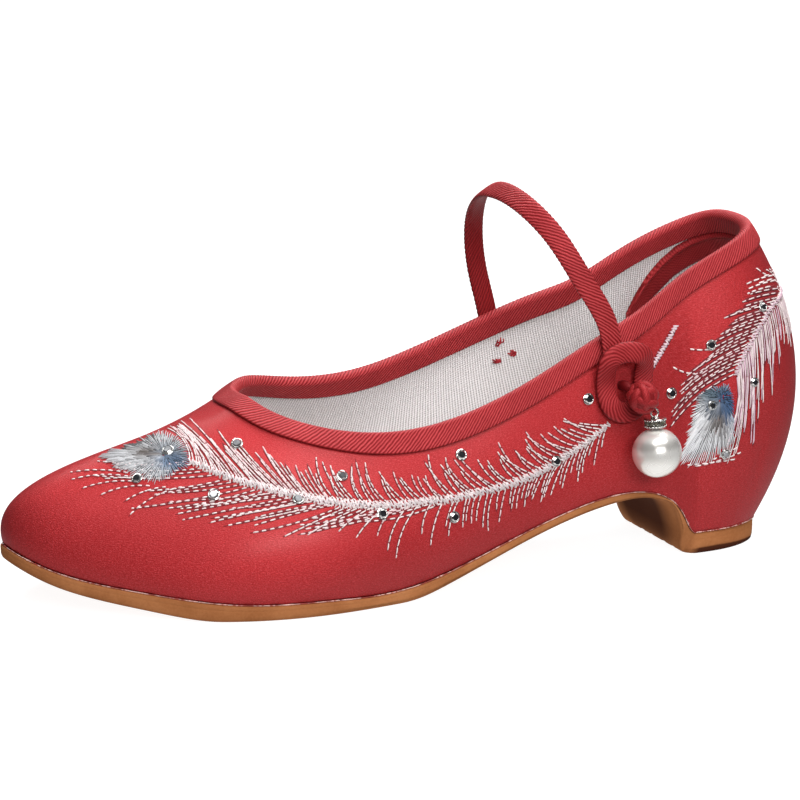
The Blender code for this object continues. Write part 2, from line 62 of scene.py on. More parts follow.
COLUMNS = ("foot_x", "foot_y_out", "foot_y_in", "foot_z", "tread_x", "tread_z", "welt", "bed_z",
           "rim_x", "rim_y_out", "rim_y_in", "rim_z_out", "rim_z_in",
           "foot_lean", "foot_pull", "rim_lean", "rim_pull")
SECTIONS = {
    "heel_back":   (12.8, 0.0, 0.0, 6.8, 13.2, 0.0, -0.3, 32.0, 15.2, 0.0, 0.0, 97.2, 97.2, 33, 34, 32, 36),
    "heel_curve":  (15.6, 14.8, 14.8, 6.8, 15.9, 0.0, -0.3, 32.0, 17.8, 13.2, 13.2, 96.2, 96.0, 29, 34, 31, 36),
    "heel_side":   (28.8, 23.2, 22.6, 6.8, 29.0, 0.0, -0.2, 31.5, 28.0, 19.8, 19.8, 92.0, 91.6, 17, 30, 23, 32),
    "breast_foot": (40.2, 24.3, 23.2, 6.8, 42.0, 0.0, 0.0, 30.3, 43.0, 21.6, 21.6, 85.0, 84.9, 12, 26, 18, 27),
    "breast":      (47.0, 26.3, 24.4, 16.5, 49.2, 15.0, 0.2, 28.0, 58.2, 23.5, 23.6, 75.6, 76.5, 11, 17, 16, 19),
    "arch_top":    (65.0, 28.8, 25.0, 22.8, 65.4, 20.4, 0.4, 22.8, 74.5, 25.3, 25.6, 68.0, 71.2, 12, 12, 15, 14),
    "waist":       (96.5, 30.6, 24.8, 15.7, 96.0, 13.0, 0.6, 15.7, 98.5, 27.2, 27.4, 56.8, 62.5, 20, 14, 16, 14),
    "joint_back":  (133.0, 35.8, 34.0, 5.0, 132.6, 1.4, 0.8, 5.0, 125.5, 27.8, 27.8, 48.6, 54.2, 25, 18, 21, 18),
    "ball":        (162.5, 40.0, 43.0, 4.2, 162.5, -0.5, 0.8, 4.2, 148.7, 25.2, 25.7, 48.0, 53.6, 25, 18, 37, 20),
    "vamp":        (189.0, 36.5, 43.0, 4.9, 189.0, -0.4, 0.8, 4.9, 165.5, 19.7, 20.6, 51.7, 56.6, 22, 16, 50, 22),
    "toe_side":    (213.0, 24.0, 36.5, 7.8, 213.0, 2.9, 0.8, 7.8, 173.2, 12.1, 13.1, 55.0, 56.6, 19, 16, 56, 24),
    "toe_corner":  (234.7, 7.4, 25.5, 12.2, 234.6, 7.7, 0.8, 12.2, 175.9, 6.0, 6.5, 57.0, 56.8, 17, 19, 61, 27),
    "toe_tip":     (245.0, -9.8, 9.8, 17.2, 244.6, 12.9, 0.8, 17.2, 176.2, 0.0, 0.0, 56.8, 56.8, 16, 24, 64, 30),
}
STRAP_FOLDS = {
    "sewn_end":     (83.4, -29.6, 54.5, 0.0),
    "inner_rim":    (84.2, -29.8, 66.0, 0.0),
    "inner_rise":   (87.4, -30.4, 81.0, 0.0),
    "inner_bend":   (89.9, -27.0, 97.0, 6.0),
    "crown_inner":  (91.9, -14.5, 107.8, 28.0),
    "crown":        (92.4, -1.0, 110.6, 45.0),
    "crown_outer":  (90.2, 12.5, 108.0, 42.0),
    "outer_bend":   (85.4, 20.4, 101.0, 30.0),
    "outer_fall":   (77.6, 26.4, 86.4, 14.0),
    "outer_rim":    (70.6, 28.2, 72.0, 0.0),
    "tucked_end":   (69.8, 28.7, 63.6, 0.0),
}
LOOP_OVER_STRAP_Z = 61.0
LOOP_TURNS = {
    "top_front":  (72.0, 62.8),
    "top":        (67.0, 64.9),
    "top_back":   (61.4, 63.6),
    "back":       (59.9, 58.0),
    "low_back":   (61.6, 50.2),
    "low":        (66.8, 47.6),
    "low_front":  (71.4, 50.4),
    "front":      (72.4, 56.8),
}
KNOT_AT, KNOT_OFF_WALL, NECK_AT = (64.0, 52.2), 8.4, (66.4, 55.4)
STAPLE_DIRECTION, PENDANT_LEAN, WALL_TILT = -130.0, 2.0, 4.2

# ================================================================ the shoe's own functions, as in the part's source
TABLE = np.array(list(SECTIONS.values()), float)
TURN = 2 * (len(TABLE) - 1)        # ring parameter u: 0 heel back, 12 toe tip, outer side first


def column(name):
    return TABLE[:, COLUMNS.index(name)]


def ring_spline(outer_side, inner_side):
    knots = np.concatenate([outer_side, inner_side[-2:0:-1]])
    return closed_spline(knots)


def closed_spline(knots):
    knots = np.asarray(knots, float)
    count = len(knots)
    one = np.eye(count)
    slopes = np.linalg.solve(4 * one + np.roll(one, 1, 0) + np.roll(one, -1, 0),
                             3 * (np.roll(knots, -1) - np.roll(knots, 1)))

    def at(u):
        u = np.asarray(u, float)
        i = np.floor(u).astype(int)
        t = u - i
        i, j = i % count, (i + 1) % count
        return ((2 * t**3 - 3 * t**2 + 1) * knots[i] + (t**3 - 2 * t**2 + t) * slopes[i]
                + (3 * t**2 - 2 * t**3) * knots[j] + (t**3 - t**2) * slopes[j])
    return at


def same(name):
    return ring_spline(column(name), column(name))


def sided(name):
    sign = -1 if "_y" in name else 1
    return ring_spline(column(name + "_out"), sign * column(name + "_in"))


FOOT_XS, FOOT_YS, FOOT_ZS = same("foot_x"), sided("foot_y"), same("foot_z")
TREAD_XS, TREAD_ZS, WELTS, BED_ZS = same("tread_x"), same("tread_z"), same("welt"), same("bed_z")
RIM_XS, RIM_YS, RIM_ZS = same("rim_x"), sided("rim_y"), sided("rim_z")
FOOT_LEAN, FOOT_PULL = same("foot_lean"), same("foot_pull")
RIM_LEAN, RIM_PULL = same("rim_lean"), same("rim_pull")


def on_lift(u):
    turned = np.mod(np.asarray(u, float), TURN)
    return np.minimum(turned, TURN - turned) <= HEEL_SECTIONS


def foot(u):
    lift_top = SECTIONS["heel_back"][COLUMNS.index("foot_z")]
    return np.stack([FOOT_XS(u), FOOT_YS(u), np.where(on_lift(u), lift_top, FOOT_ZS(u))], -1)


def rim(u):
    return np.stack([RIM_XS(u), RIM_YS(u), RIM_ZS(u)], -1)


def unit(a):
    a = np.asarray(a, float)
    return a / np.maximum(np.linalg.norm(a, axis=-1, keepdims=True), 1e-12)


def plan_outward(curve, u, step=0.01):
    d = curve(u + step) - curve(u - step)
    return unit(np.stack([-d[..., 1], d[..., 0], 0 * d[..., 0]], -1))


def outer(u, v):
    up = np.array([0.0, 0.0, 1.0])
    v = np.asarray(v, float)[..., None]
    low, high = foot(u), rim(u)
    a, b = np.radians(FOOT_LEAN(u))[..., None], np.radians(RIM_LEAN(u))[..., None]
    low_handle = low + FOOT_PULL(u)[..., None] * (np.sin(a) * plan_outward(foot, u) + np.cos(a) * up)
    high_handle = high + RIM_PULL(u)[..., None] * (np.sin(b) * plan_outward(rim, u) - np.cos(b) * up)
    return (1 - v)**3 * low + 3 * v * (1 - v)**2 * low_handle + 3 * v**2 * (1 - v) * high_handle + v**3 * high


def outward(u, v, step=0.01):
    along = outer(u + step, v) - outer(u - step, v)
    lower, upper = np.maximum(v - step, 0), np.minimum(v + step, 1)
    return unit(np.cross(outer(u, upper) - outer(u, lower), along))


def shell(u, v, depth=0.0):
    return outer(u, v) - np.asarray(depth)[..., None] * outward(u, v)


def v_at_height(u, z, depth):
    """v of the wall at a height, per station."""
    grid = np.linspace(0, 1, 121)
    heights = shell(np.asarray(u)[:, None], grid[None], depth)[..., 2]
    return np.array([0.0 if one <= row[0] else float(np.interp(one, row, grid)) for one, row in zip(z, heights)])


def v_below_rim(u, distances, depth):
    """v of the wall at distances below the collar edge: rows stations, columns distances."""
    grid = np.linspace(0.5, 1, 61)
    run = shell(np.asarray(u)[:, None], grid[None], depth)[:, ::-1]
    left = np.cumsum(np.linalg.norm(np.diff(run, axis=1), axis=2), 1)
    return np.array([np.interp(distances, np.concatenate([[0], row]), grid[::-1]) for row in left])


def outer_wall(x, z, off=0.0):
    u, v = 4.6, 0.6
    for _ in range(30):
        here = outer(np.array(u), np.array(v))
        du = (outer(np.array(u + 1e-3), np.array(v)) - here) / 1e-3
        dv = (outer(np.array(u), np.array(v + 1e-3)) - here) / 1e-3
        move = np.linalg.solve([[du[0], dv[0]], [du[2], dv[2]]], [x - here[0], z - here[2]])
        u, v = u + float(np.clip(move[0], -0.5, 0.5)), v + float(np.clip(move[1], -0.2, 0.2))
    n = outward(np.array(u), np.array(v))
    return outer(np.array(u), np.array(v)) + off * n, n


def smooth_path(points, count, closed=False):
    """Even points on a cubic spline through a few points."""
    points = np.asarray(points, float)
    dims = points.shape[1]
    if closed:
        splines = [closed_spline(points[:, k]) for k in range(dims)]
        dense = np.stack([s(np.linspace(0, len(points), 60 * len(points), endpoint=False)) for s in splines], -1)
        dense = np.concatenate([dense, dense[:1]])
    else:
        steps = np.concatenate([[0], np.cumsum(np.linalg.norm(np.diff(points, axis=0), axis=1))])
        n = len(points)
        system, right = np.zeros((n, n)), np.zeros((n, dims))
        system[0, 0] = system[-1, -1] = 1.0
        for i in range(1, n - 1):
            before, after = steps[i] - steps[i - 1], steps[i + 1] - steps[i]
            system[i, i - 1:i + 2] = before, 2 * (before + after), after
            right[i] = 6 * ((points[i + 1] - points[i]) / after - (points[i] - points[i - 1]) / before)
        bend = np.linalg.solve(system, right)
        at = np.linspace(0, steps[-1], 1600)
        k = np.clip(np.searchsorted(steps, at, side="right") - 1, 0, n - 2)
        h = (steps[k + 1] - steps[k])[:, None]
        a, b = (steps[k + 1] - at)[:, None] / h, (at - steps[k])[:, None] / h
        dense = a * points[k] + b * points[k + 1] + ((a**3 - a) * bend[k] + (b**3 - b) * bend[k + 1]) * h**2 / 6
    run = np.concatenate([[0], np.cumsum(np.linalg.norm(np.diff(dense, axis=0), axis=1))])
    at = np.linspace(0, run[-1], count, endpoint=not closed)
    return np.stack([np.interp(at, run, dense[:, k]) for k in range(dims)], -1)


# ================================================================ camera, at the photo's angle
VIEW_TURN, VIEW_RISE, VIEW_ROLL = 22.545, 14.186, -0.346
VIEW_FAR, VIEW_AIM = 1200.0, np.array([120.0, 0.0, 35.0])
FOCAL_PX, IMAGE_PX, AXIS_PX = 4045.5, 800.0, (417.47, 449.39)


def camera_axes():
    t, e, r = (math.radians(a) for a in (VIEW_TURN, VIEW_RISE, VIEW_ROLL))
    back = np.array([math.sin(t) * math.cos(e), math.cos(t) * math.cos(e), math.sin(e)])
    right = np.array([-math.cos(t), math.sin(t), 0.0])
    up = np.array([-math.sin(t) * math.sin(e), -math.cos(t) * math.sin(e), math.cos(e)])
    right, up = math.cos(r) * right + math.sin(r) * up, -math.sin(r) * right + math.cos(r) * up
    eye = VIEW_AIM + VIEW_FAR * back
    half = IMAGE_PX / 2
    ahead = unit(-back + right * (half - AXIS_PX[0]) / FOCAL_PX - up * (half - AXIS_PX[1]) / FOCAL_PX)
    right = unit(right - (right @ ahead) * ahead)
    return eye, right, np.cross(right, ahead), -ahead


EYE, CAM_RIGHT, CAM_UP, CAM_BACK = camera_axes()


def project(points):
    """Pixels of points, in the photo's 800 by 800 frame."""
    d = np.asarray(points, float) - EYE
    far = -(d @ CAM_BACK)
    return np.stack([IMAGE_PX / 2 + FOCAL_PX * (d @ CAM_RIGHT) / far, IMAGE_PX / 2 - FOCAL_PX * (d @ CAM_UP) / far], -1)


def place(points):
    return (np.asarray(points, float) - [FRAME_X, FRAME_Y, 0.0]) * 0.001


def make_camera():
    data = bpy.data.cameras.new("camera")
    data.sensor_width = 36.0
    data.lens = 36.0 * FOCAL_PX / IMAGE_PX
    data.clip_start, data.clip_end = 0.05, 30.0
    cam = bpy.data.objects.new("camera", data)
    bpy.context.scene.collection.objects.link(cam)
    turn = Matrix([[CAM_RIGHT[k], CAM_UP[k], CAM_BACK[k]] for k in range(3)]).to_4x4()
    cam.matrix_world = Matrix.Translation(Vector(place(EYE))) @ turn
    bpy.context.scene.camera = cam


make_camera()


class Wall:
    """Finds the point of a wall of the shoe that shows at a pixel."""

    def __init__(self, depth, inside, first, last, low=0.0, high=1.0):
        self.depth, self.low, self.high = depth, low, high
        u, v = np.linspace(first, last, 420)[:, None], np.linspace(low, high, 70)[None]
        points = shell(u, v, depth)
        n = outward(u, v) * (-1 if inside else 1)
        faces = np.sum(n * (EYE - points), -1) > 0
        self.u, self.v = np.broadcast_to(u, faces.shape)[faces], np.broadcast_to(v, faces.shape)[faces]
        self.tree = pixel_tree(project(points[faces]))

    def find(self, pixels):
        """u, v and the miss in pixels."""
        pixels = np.asarray(pixels, float).reshape(-1, 2)
        near = [self.tree.find((p[0], p[1], 0.0))[1] for p in pixels]
        u, v = self.u[near].copy(), self.v[near].copy()
        h = 1e-3
        for _ in range(8):
            miss = project(shell(u, v, self.depth)) - pixels
            by_u = (project(shell(u + h, v, self.depth)) - project(shell(u - h, v, self.depth))) / (2 * h)
            by_v = (project(shell(u, v + h, self.depth)) - project(shell(u, v - h, self.depth))) / (2 * h)
            det = by_u[:, 0] * by_v[:, 1] - by_u[:, 1] * by_v[:, 0]
            det = np.where(np.abs(det) < 1e-3, 1e-3, det)
            du = (miss[:, 0] * by_v[:, 1] - miss[:, 1] * by_v[:, 0]) / det
            dv = (by_u[:, 0] * miss[:, 1] - by_u[:, 1] * miss[:, 0]) / det
            u = u - np.clip(du, -0.08, 0.08)
            v = np.clip(v - np.clip(dv, -0.03, 0.03), self.low, self.high)
        return u, v, np.linalg.norm(project(shell(u, v, self.depth)) - pixels, axis=1)


def pixel_tree(flat):
    tree = KDTree(len(flat))
    for i, p in enumerate(flat):
        tree.insert((p[0], p[1], 0.0), i)
    tree.balance()
    return tree


# ================================================================ mesh making
def mesh_object(name, points, quads=None, tris=None, material=None, body="shoe", uv=None, tint=None, value=None, smooth=True):
    """One piece from arrays of points (mm) and faces. uv: millimetres on the cloth for each point. tint: colour for each point.
    value: named numbers for each point."""
    points = place(points)
    quads = np.zeros((0, 4), int) if quads is None else np.asarray(quads, int).reshape(-1, 4)
    tris = np.zeros((0, 3), int) if tris is None else np.asarray(tris, int).reshape(-1, 3)
    mesh = bpy.data.meshes.new(name)
    loops = np.concatenate([quads.ravel(), tris.ravel()])
    sizes = np.concatenate([np.full(len(quads), 4), np.full(len(tris), 3)])
    mesh.vertices.add(len(points))
    mesh.vertices.foreach_set("co", points.astype(np.float32).ravel())
    mesh.loops.add(len(loops))
    mesh.loops.foreach_set("vertex_index", loops.astype(np.int32))
    mesh.polygons.add(len(sizes))
    mesh.polygons.foreach_set("loop_start", np.concatenate([[0], np.cumsum(sizes)[:-1]]).astype(np.int32))
    mesh.update(calc_edges=True)
    mesh.polygons.foreach_set("use_smooth", np.full(len(sizes), bool(smooth)))
    if uv is not None:
        layer = mesh.uv_layers.new(name="cloth_mm")
        layer.uv.foreach_set("vector", np.asarray(uv, np.float32)[loops].ravel())
    if tint is not None:
        layer = mesh.color_attributes.new(name="tint", type="FLOAT_COLOR", domain="POINT")
        layer.data.foreach_set("color", np.concatenate([tint, np.ones((len(tint), 1))], 1).astype(np.float32).ravel())
    for key, numbers in (value or {}).items():
        layer = mesh.attributes.new(name=key, type="FLOAT", domain="POINT")
        layer.data.foreach_set("value", np.asarray(numbers, np.float32))
    mesh.validate()
    thing = bpy.data.objects.new(name, mesh)
    bpy.context.scene.collection.objects.link(thing)
    if material is not None:
        mesh.materials.append(material)
    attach(thing, body)
    return thing


def grid_faces(rows, size, around=True, closed=False):
    """Quads of rows of points; around joins each row's ends, closed joins the last row to the first."""
    r = np.arange(rows if closed else rows - 1)[:, None]
    k = np.arange(size if around else size - 1)[None, :]
    s, m = (r + 1) % rows, (k + 1) % size
    return np.stack([r * size + k, r * size + m, s * size + m, s * size + k], -1).reshape(-1, 4)


def cap(start, size, back=False):
    """Fan of triangles over a ring of points."""
    fan = [(start, start + k, start + k + 1) for k in range(1, size - 1)]
    return [f[::-1] for f in fan] if back else fan


def flip(faces):
    return np.asarray(faces)[:, ::-1]


class Heap:
    """Many small shapes gathered into one mesh."""

    def __init__(self):
        self.points, self.quads, self.tris, self.tints, self.count = [], [], [], [], 0

    def add(self, points, quads=None, tris=None, tint=None):
        points = np.asarray(points, float).reshape(-1, 3)
        self.points.append(points)
        if quads is not None and len(quads):
            self.quads.append(np.asarray(quads) + self.count)
        if tris is not None and len(tris):
            self.tris.append(np.asarray(tris) + self.count)
        if tint is not None:
            self.tints.append(np.broadcast_to(tint, (len(points), 3)))
        self.count += len(points)

    def make(self, name, material, body="shoe", smooth=True):
        return mesh_object(name, np.concatenate(self.points),
                           np.concatenate(self.quads) if self.quads else None,
                           np.concatenate(self.tris) if self.tris else None,
                           material, body, tint=np.concatenate(self.tints) if self.tints else None, smooth=smooth)


def sweep(path, side, profile, closed=False):
    """Sections of a profile (columns across and proud, mm) along a path; side is the across direction at each point."""
    ahead = np.roll(path, -1, 0) - np.roll(path, 1, 0)
    if not closed:
        ahead[0], ahead[-1] = path[1] - path[0], path[-1] - path[-2]
    ahead = unit(ahead)
    side = unit(side - np.sum(side * ahead, -1, keepdims=True) * ahead)
    proud = np.cross(ahead, side)
    return path[:, None] + profile[None, :, 0, None] * side[:, None] + profile[None, :, 1, None] * proud[:, None]


def tube(path, radius, around, closed=False, guide=(0.31, 0.17, 0.94)):
    """Round tube points and faces along a path."""
    path = np.asarray(path, float)
    w = np.linspace(0, 2 * math.pi, around, endpoint=False)
    radius = np.broadcast_to(radius, len(path))
    ahead = np.roll(path, -1, 0) - np.roll(path, 1, 0)
    if not closed:
        ahead[0], ahead[-1] = path[1] - path[0], path[-1] - path[-2]
    ahead = unit(ahead)
    one = unit(np.cross(ahead, np.asarray(guide, float)))
    two = np.cross(ahead, one)
    rings = path[:, None] + radius[:, None, None] * (np.cos(w)[None, :, None] * one[:, None] + np.sin(w)[None, :, None] * two[:, None])
    quads = grid_faces(len(path), around, closed=closed)
    tris = [] if closed else cap(0, around, back=True) + cap((len(path) - 1) * around, around)
    return rings.reshape(-1, 3), quads, tris


# ================================================================ materials
def nodes_of(name):
    material = bpy.data.materials.new(name)
    material.use_nodes = True
    tree = material.node_tree
    return material, tree, tree.nodes["Principled BSDF"]


def add(tree, kind, **settings):
    node = tree.nodes.new(kind)
    for key, value in settings.items():
        if key in node.inputs.keys():
            node.inputs[key].default_value = value
        else:
            setattr(node, key, value)
    return node


def link(tree, source, target):
    tree.links.new(source, target)


def cloth_coords(tree, scale, turn=0.0):
    """Millimetres on the cloth, scaled and turned."""
    uv = add(tree, "ShaderNodeUVMap", uv_map="cloth_mm")
    turned = add(tree, "ShaderNodeMapping")
    turned.inputs["Rotation"].default_value = (0, 0, math.radians(turn))
    turned.inputs["Scale"].default_value = (*scale, 1.0)
    link(tree, uv.outputs["UV"], turned.inputs["Vector"])
    return turned.outputs["Vector"]


def object_coords(tree, scale=1000.0):
    at = add(tree, "ShaderNodeTexCoord")
    sized = add(tree, "ShaderNodeMapping")
    sized.inputs["Scale"].default_value = (scale, scale, scale)
    link(tree, at.outputs["Object"], sized.inputs["Vector"])
    return sized.outputs["Vector"]


def noise(tree, vector, scale, detail=2.0, rough=0.5):
    node = add(tree, "ShaderNodeTexNoise", Scale=scale, Detail=detail, Roughness=rough)
    link(tree, vector, node.inputs["Vector"])
    return node.outputs["Fac"]


def ramp(tree, factor, stops):
    node = add(tree, "ShaderNodeValToRGB")
    elements = node.color_ramp.elements
    while len(elements) < len(stops):
        elements.new(0.5)
    for element, (at, colour) in zip(elements, stops):
        element.position = at
        element.color = (*colour, 1.0) if len(colour) == 3 else colour
    link(tree, factor, node.inputs["Fac"])
    return node.outputs["Color"]


def spread(tree, value, low, high):
    node = add(tree, "ShaderNodeMapRange")
    node.inputs["To Min"].default_value, node.inputs["To Max"].default_value = low, high
    link(tree, value, node.inputs["Value"])
    return node.outputs["Result"]


def mix(tree, factor, a, b, blend="MIX"):
    node = add(tree, "ShaderNodeMix", data_type="RGBA", blend_type=blend)
    for socket, source in ((node.inputs[0], factor), (node.inputs[6], a), (node.inputs[7], b)):
        if isinstance(source, (int, float)):
            socket.default_value = source
        elif isinstance(source, tuple):
            socket.default_value = (*source, 1.0)
        else:
            link(tree, source, socket)
    return node.outputs[2]


def add_values(tree, a, b, operation="ADD"):
    node = add(tree, "ShaderNodeMath", operation=operation)
    for socket, source in zip(node.inputs, (a, b)):
        if isinstance(source, (int, float)):
            socket.default_value = source
        else:
            link(tree, source, socket)
    return node.outputs[0]


def bump(tree, shader, height, distance_mm, strength=1.0):
    node = add(tree, "ShaderNodeBump")
    node.inputs["Strength"].default_value = strength
    node.inputs["Distance"].default_value = distance_mm * 0.001
    link(tree, height, node.inputs["Height"])
    link(tree, node.outputs["Normal"], shader.inputs["Normal"])


SATIN_DEEP, SATIN_MID, SATIN_LIGHT = (0.292, 0.0085, 0.0085), (0.480, 0.024, 0.027), (0.71, 0.092, 0.108)
TWILL_DEEP, TWILL_MID, TWILL_LIGHT = (0.125, 0.005, 0.006), (0.32, 0.018, 0.020), (0.54, 0.066, 0.073)


def satin_material():
    material, tree, shader = nodes_of("red_satin")
    floats = noise(tree, cloth_coords(tree, (0.75, 2.4)), 1.5, 3.0, 0.65)
    grain = noise(tree, cloth_coords(tree, (2.0, 2.6)), 1.3, 2.0, 0.6)
    cloud = noise(tree, cloth_coords(tree, (0.03, 0.03)), 1.0, 2.0)
    both = add_values(tree, floats, grain)
    tone = ramp(tree, add_values(tree, both, 0.5, "MULTIPLY"), [(0.28, SATIN_DEEP), (0.5, SATIN_MID), (0.72, SATIN_LIGHT)])
    link(tree, mix(tree, spread(tree, cloud, -0.1, 0.25), tone, SATIN_DEEP), shader.inputs["Base Color"])
    link(tree, spread(tree, floats, 0.40, 0.54), shader.inputs["Roughness"])
    shader.inputs["Metallic"].default_value = 0.55
    shader.inputs["Specular IOR Level"].default_value = 0.45
    shader.inputs["Specular Tint"].default_value = (1.0, 0.50, 0.54, 1.0)
    shader.inputs["Coat Weight"].default_value = 0.26
    shader.inputs["Coat Roughness"].default_value = 0.34
    bump(tree, shader, both, 0.20, 0.9)
    return material


def twill_material(name, deep=TWILL_DEEP, middle=TWILL_MID, light=TWILL_LIGHT):
    """Diagonal twill: the ribs are in the mesh, and their height is in the rib numbers."""
    material, tree, shader = nodes_of(name)
    rib = add(tree, "ShaderNodeAttribute", attribute_name="rib")
    fibre = noise(tree, cloth_coords(tree, (1.5, 1.5)), 2.2, 3.0, 0.6)
    patch = noise(tree, cloth_coords(tree, (0.11, 0.11)), 1.0, 2.0)
    height = add_values(tree, rib.outputs["Fac"], spread(tree, fibre, -0.28, 0.28))
    tone = ramp(tree, height, [(0.05, deep), (0.5, middle), (0.98, light)])
    link(tree, mix(tree, spread(tree, patch, -0.2, 0.5), tone, deep), shader.inputs["Base Color"])
    shader.inputs["Roughness"].default_value = 0.48
    shader.inputs["Specular IOR Level"].default_value = 0.85
    shader.inputs["Specular Tint"].default_value = (1.0, 0.17, 0.19, 1.0)
    bump(tree, shader, fibre, 0.10, 0.8)
    return material


def canvas_material():
    material, tree, shader = nodes_of("canvas")
    at = cloth_coords(tree, (1.0, 1.0))
    warp = add(tree, "ShaderNodeTexWave", wave_type="BANDS", bands_direction="X", wave_profile="SIN", Scale=0.38, Distortion=0.6)
    warp.inputs["Detail"].default_value = 1.0
    warp.inputs["Detail Scale"].default_value = 1.4
    weft = add(tree, "ShaderNodeTexWave", wave_type="BANDS", bands_direction="Y", wave_profile="SIN", Scale=0.46, Distortion=0.8)
    link(tree, at, warp.inputs["Vector"])
    link(tree, at, weft.inputs["Vector"])
    weave = add_values(tree, add_values(tree, warp.outputs["Fac"], 0.68, "MULTIPLY"),
                       add_values(tree, weft.outputs["Fac"], 0.32, "MULTIPLY"))
    slub = noise(tree, cloth_coords(tree, (0.5, 1.6)), 1.1, 3.0, 0.6)
    cloud = noise(tree, cloth_coords(tree, (0.04, 0.04)), 1.0, 2.0)
    both = add_values(tree, weave, spread(tree, slub, -0.18, 0.18))
    tone = ramp(tree, both, [(0.10, (0.42, 0.385, 0.38)), (0.45, (0.78, 0.74, 0.735)), (0.85, (0.92, 0.895, 0.89))])
    link(tree, mix(tree, spread(tree, cloud, 0.0, 0.25), tone, (0.66, 0.63, 0.62)), shader.inputs["Base Color"])
    shader.inputs["Roughness"].default_value = 0.88
    shader.inputs["Specular IOR Level"].default_value = 0.2
    bump(tree, shader, both, 0.28, 0.8)
    return material


def rubber_material():
    material, tree, shader = nodes_of("gum_rubber")
    at = object_coords(tree)
    cloud = noise(tree, at, 0.06, 3.0)
    fine = noise(tree, at, 1.3, 3.0, 0.65)
    tone = ramp(tree, add_values(tree, cloud, spread(tree, fine, -0.14, 0.14)),
                [(0.25, (0.30, 0.105, 0.036)), (0.55, (0.43, 0.168, 0.064)), (0.85, (0.52, 0.225, 0.095))])
    # painted shade: this attribute darkens the rubber towards near black at the sole's edges, under the arch and in the
    # tread's grooves
    dark = add(tree, "ShaderNodeAttribute", attribute_name="painted_shade")
    link(tree, mix(tree, dark.outputs["Fac"], tone, (0.058, 0.016, 0.009)), shader.inputs["Base Color"])
    link(tree, spread(tree, fine, 0.55, 0.75), shader.inputs["Roughness"])
    shader.inputs["Specular IOR Level"].default_value = 0.01
    bump(tree, shader, fine, 0.06, 0.5)
    return material


def thread_material(name, rough=0.5):
    material, tree, shader = nodes_of(name)
    tint = add(tree, "ShaderNodeAttribute", attribute_name="tint")
    fibre = noise(tree, object_coords(tree), 3.0, 2.0, 0.6)
    link(tree, mix(tree, spread(tree, fibre, 0.0, 0.3), tint.outputs["Color"], (0.60, 0.45, 0.46), "MULTIPLY"), shader.inputs["Base Color"])
    shader.inputs["Roughness"].default_value = rough
    shader.inputs["Specular IOR Level"].default_value = 0.4
    bump(tree, shader, fibre, 0.06, 0.5)
    return material


def silver_material():
    material, tree, shader = nodes_of("silver_metal")
    fine = noise(tree, object_coords(tree), 2.5, 3.0)
    link(tree, ramp(tree, fine, [(0.3, (0.52, 0.51, 0.48)), (0.7, (0.84, 0.83, 0.80))]), shader.inputs["Base Color"])
    shader.inputs["Metallic"].default_value = 1.0
    link(tree, spread(tree, fine, 0.12, 0.3), shader.inputs["Roughness"])
    return material


def pearl_material():
    material, tree, shader = nodes_of("pearl_lacquer")
    at = object_coords(tree)
    cloud = noise(tree, at, 0.16, 2.0)
    tone = ramp(tree, cloud, [(0.3, (0.90, 0.87, 0.815)), (0.7, (0.94, 0.92, 0.88))])
    # painted reflection: this attribute mixes the base colour to grey in a ring above the pearl's middle, standing for
    # the dark horizon
    horizon_reflection = add(tree, "ShaderNodeAttribute", attribute_name="horizon_reflection")
    link(tree, mix(tree, horizon_reflection.outputs["Fac"], tone, (0.46, 0.44, 0.41)), shader.inputs["Base Color"])
    shader.inputs["Metallic"].default_value = 0.50
    link(tree, spread(tree, cloud, 0.24, 0.30), shader.inputs["Roughness"])
    shader.inputs["Specular IOR Level"].default_value = 0.6
    shader.inputs["Coat Weight"].default_value = 0.3
    shader.inputs["Coat Roughness"].default_value = 0.22
    bump(tree, shader, noise(tree, at, 1.2, 2.0), 0.02, 0.25)
    return material


def stone_material(name, colour, rough, metal, shine):
    material, tree, shader = nodes_of(name)
    fleck = noise(tree, object_coords(tree), 1.1, 2.0)
    dim = tuple(0.55 * c for c in colour)
    link(tree, ramp(tree, fleck, [(0.35, dim), (0.65, colour)]), shader.inputs["Base Color"])
    shader.inputs["Metallic"].default_value = metal
    shader.inputs["Roughness"].default_value = rough
    shader.inputs["Specular IOR Level"].default_value = shine
    return material


def wood_material():
    material, tree, shader = nodes_of("heel_block")
    grain = noise(tree, object_coords(tree, 400.0), 1.0, 4.0)
    link(tree, ramp(tree, grain, [(0.3, (0.30, 0.20, 0.12)), (0.7, (0.46, 0.33, 0.22))]), shader.inputs["Base Color"])
    shader.inputs["Roughness"].default_value = 0.75
    return material


SATIN, CANVAS, RUBBER = satin_material(), canvas_material(), rubber_material()
TWILL = twill_material("red_twill")
TWILL_DARK = twill_material("red_twill_knot", (0.110, 0.0045, 0.0055), (0.28, 0.014, 0.016), (0.46, 0.050, 0.055))
THREAD, RED_THREAD = thread_material("embroidery_thread"), thread_material("red_thread", 0.6)
SILVER, PEARL = silver_material(), pearl_material()
# stone_face is near black with little shine: its darkness is a painted reflection of a dark room in the stones' tables
STONE_FACE, STONE_RIM = stone_material("stone_face", (0.020, 0.021, 0.024), 0.12, 0.0, 0.25), stone_material("stone_rim", (0.80, 0.80, 0.78), 0.12, 1.0, 0.5)
STONE_GREY = stone_material("stone_grey", (0.20, 0.185, 0.14), 0.15, 0.3, 0.6)
STONE_CLEAR = stone_material("stone_clear", (0.50, 0.51, 0.53), 0.18, 0.5, 0.6)

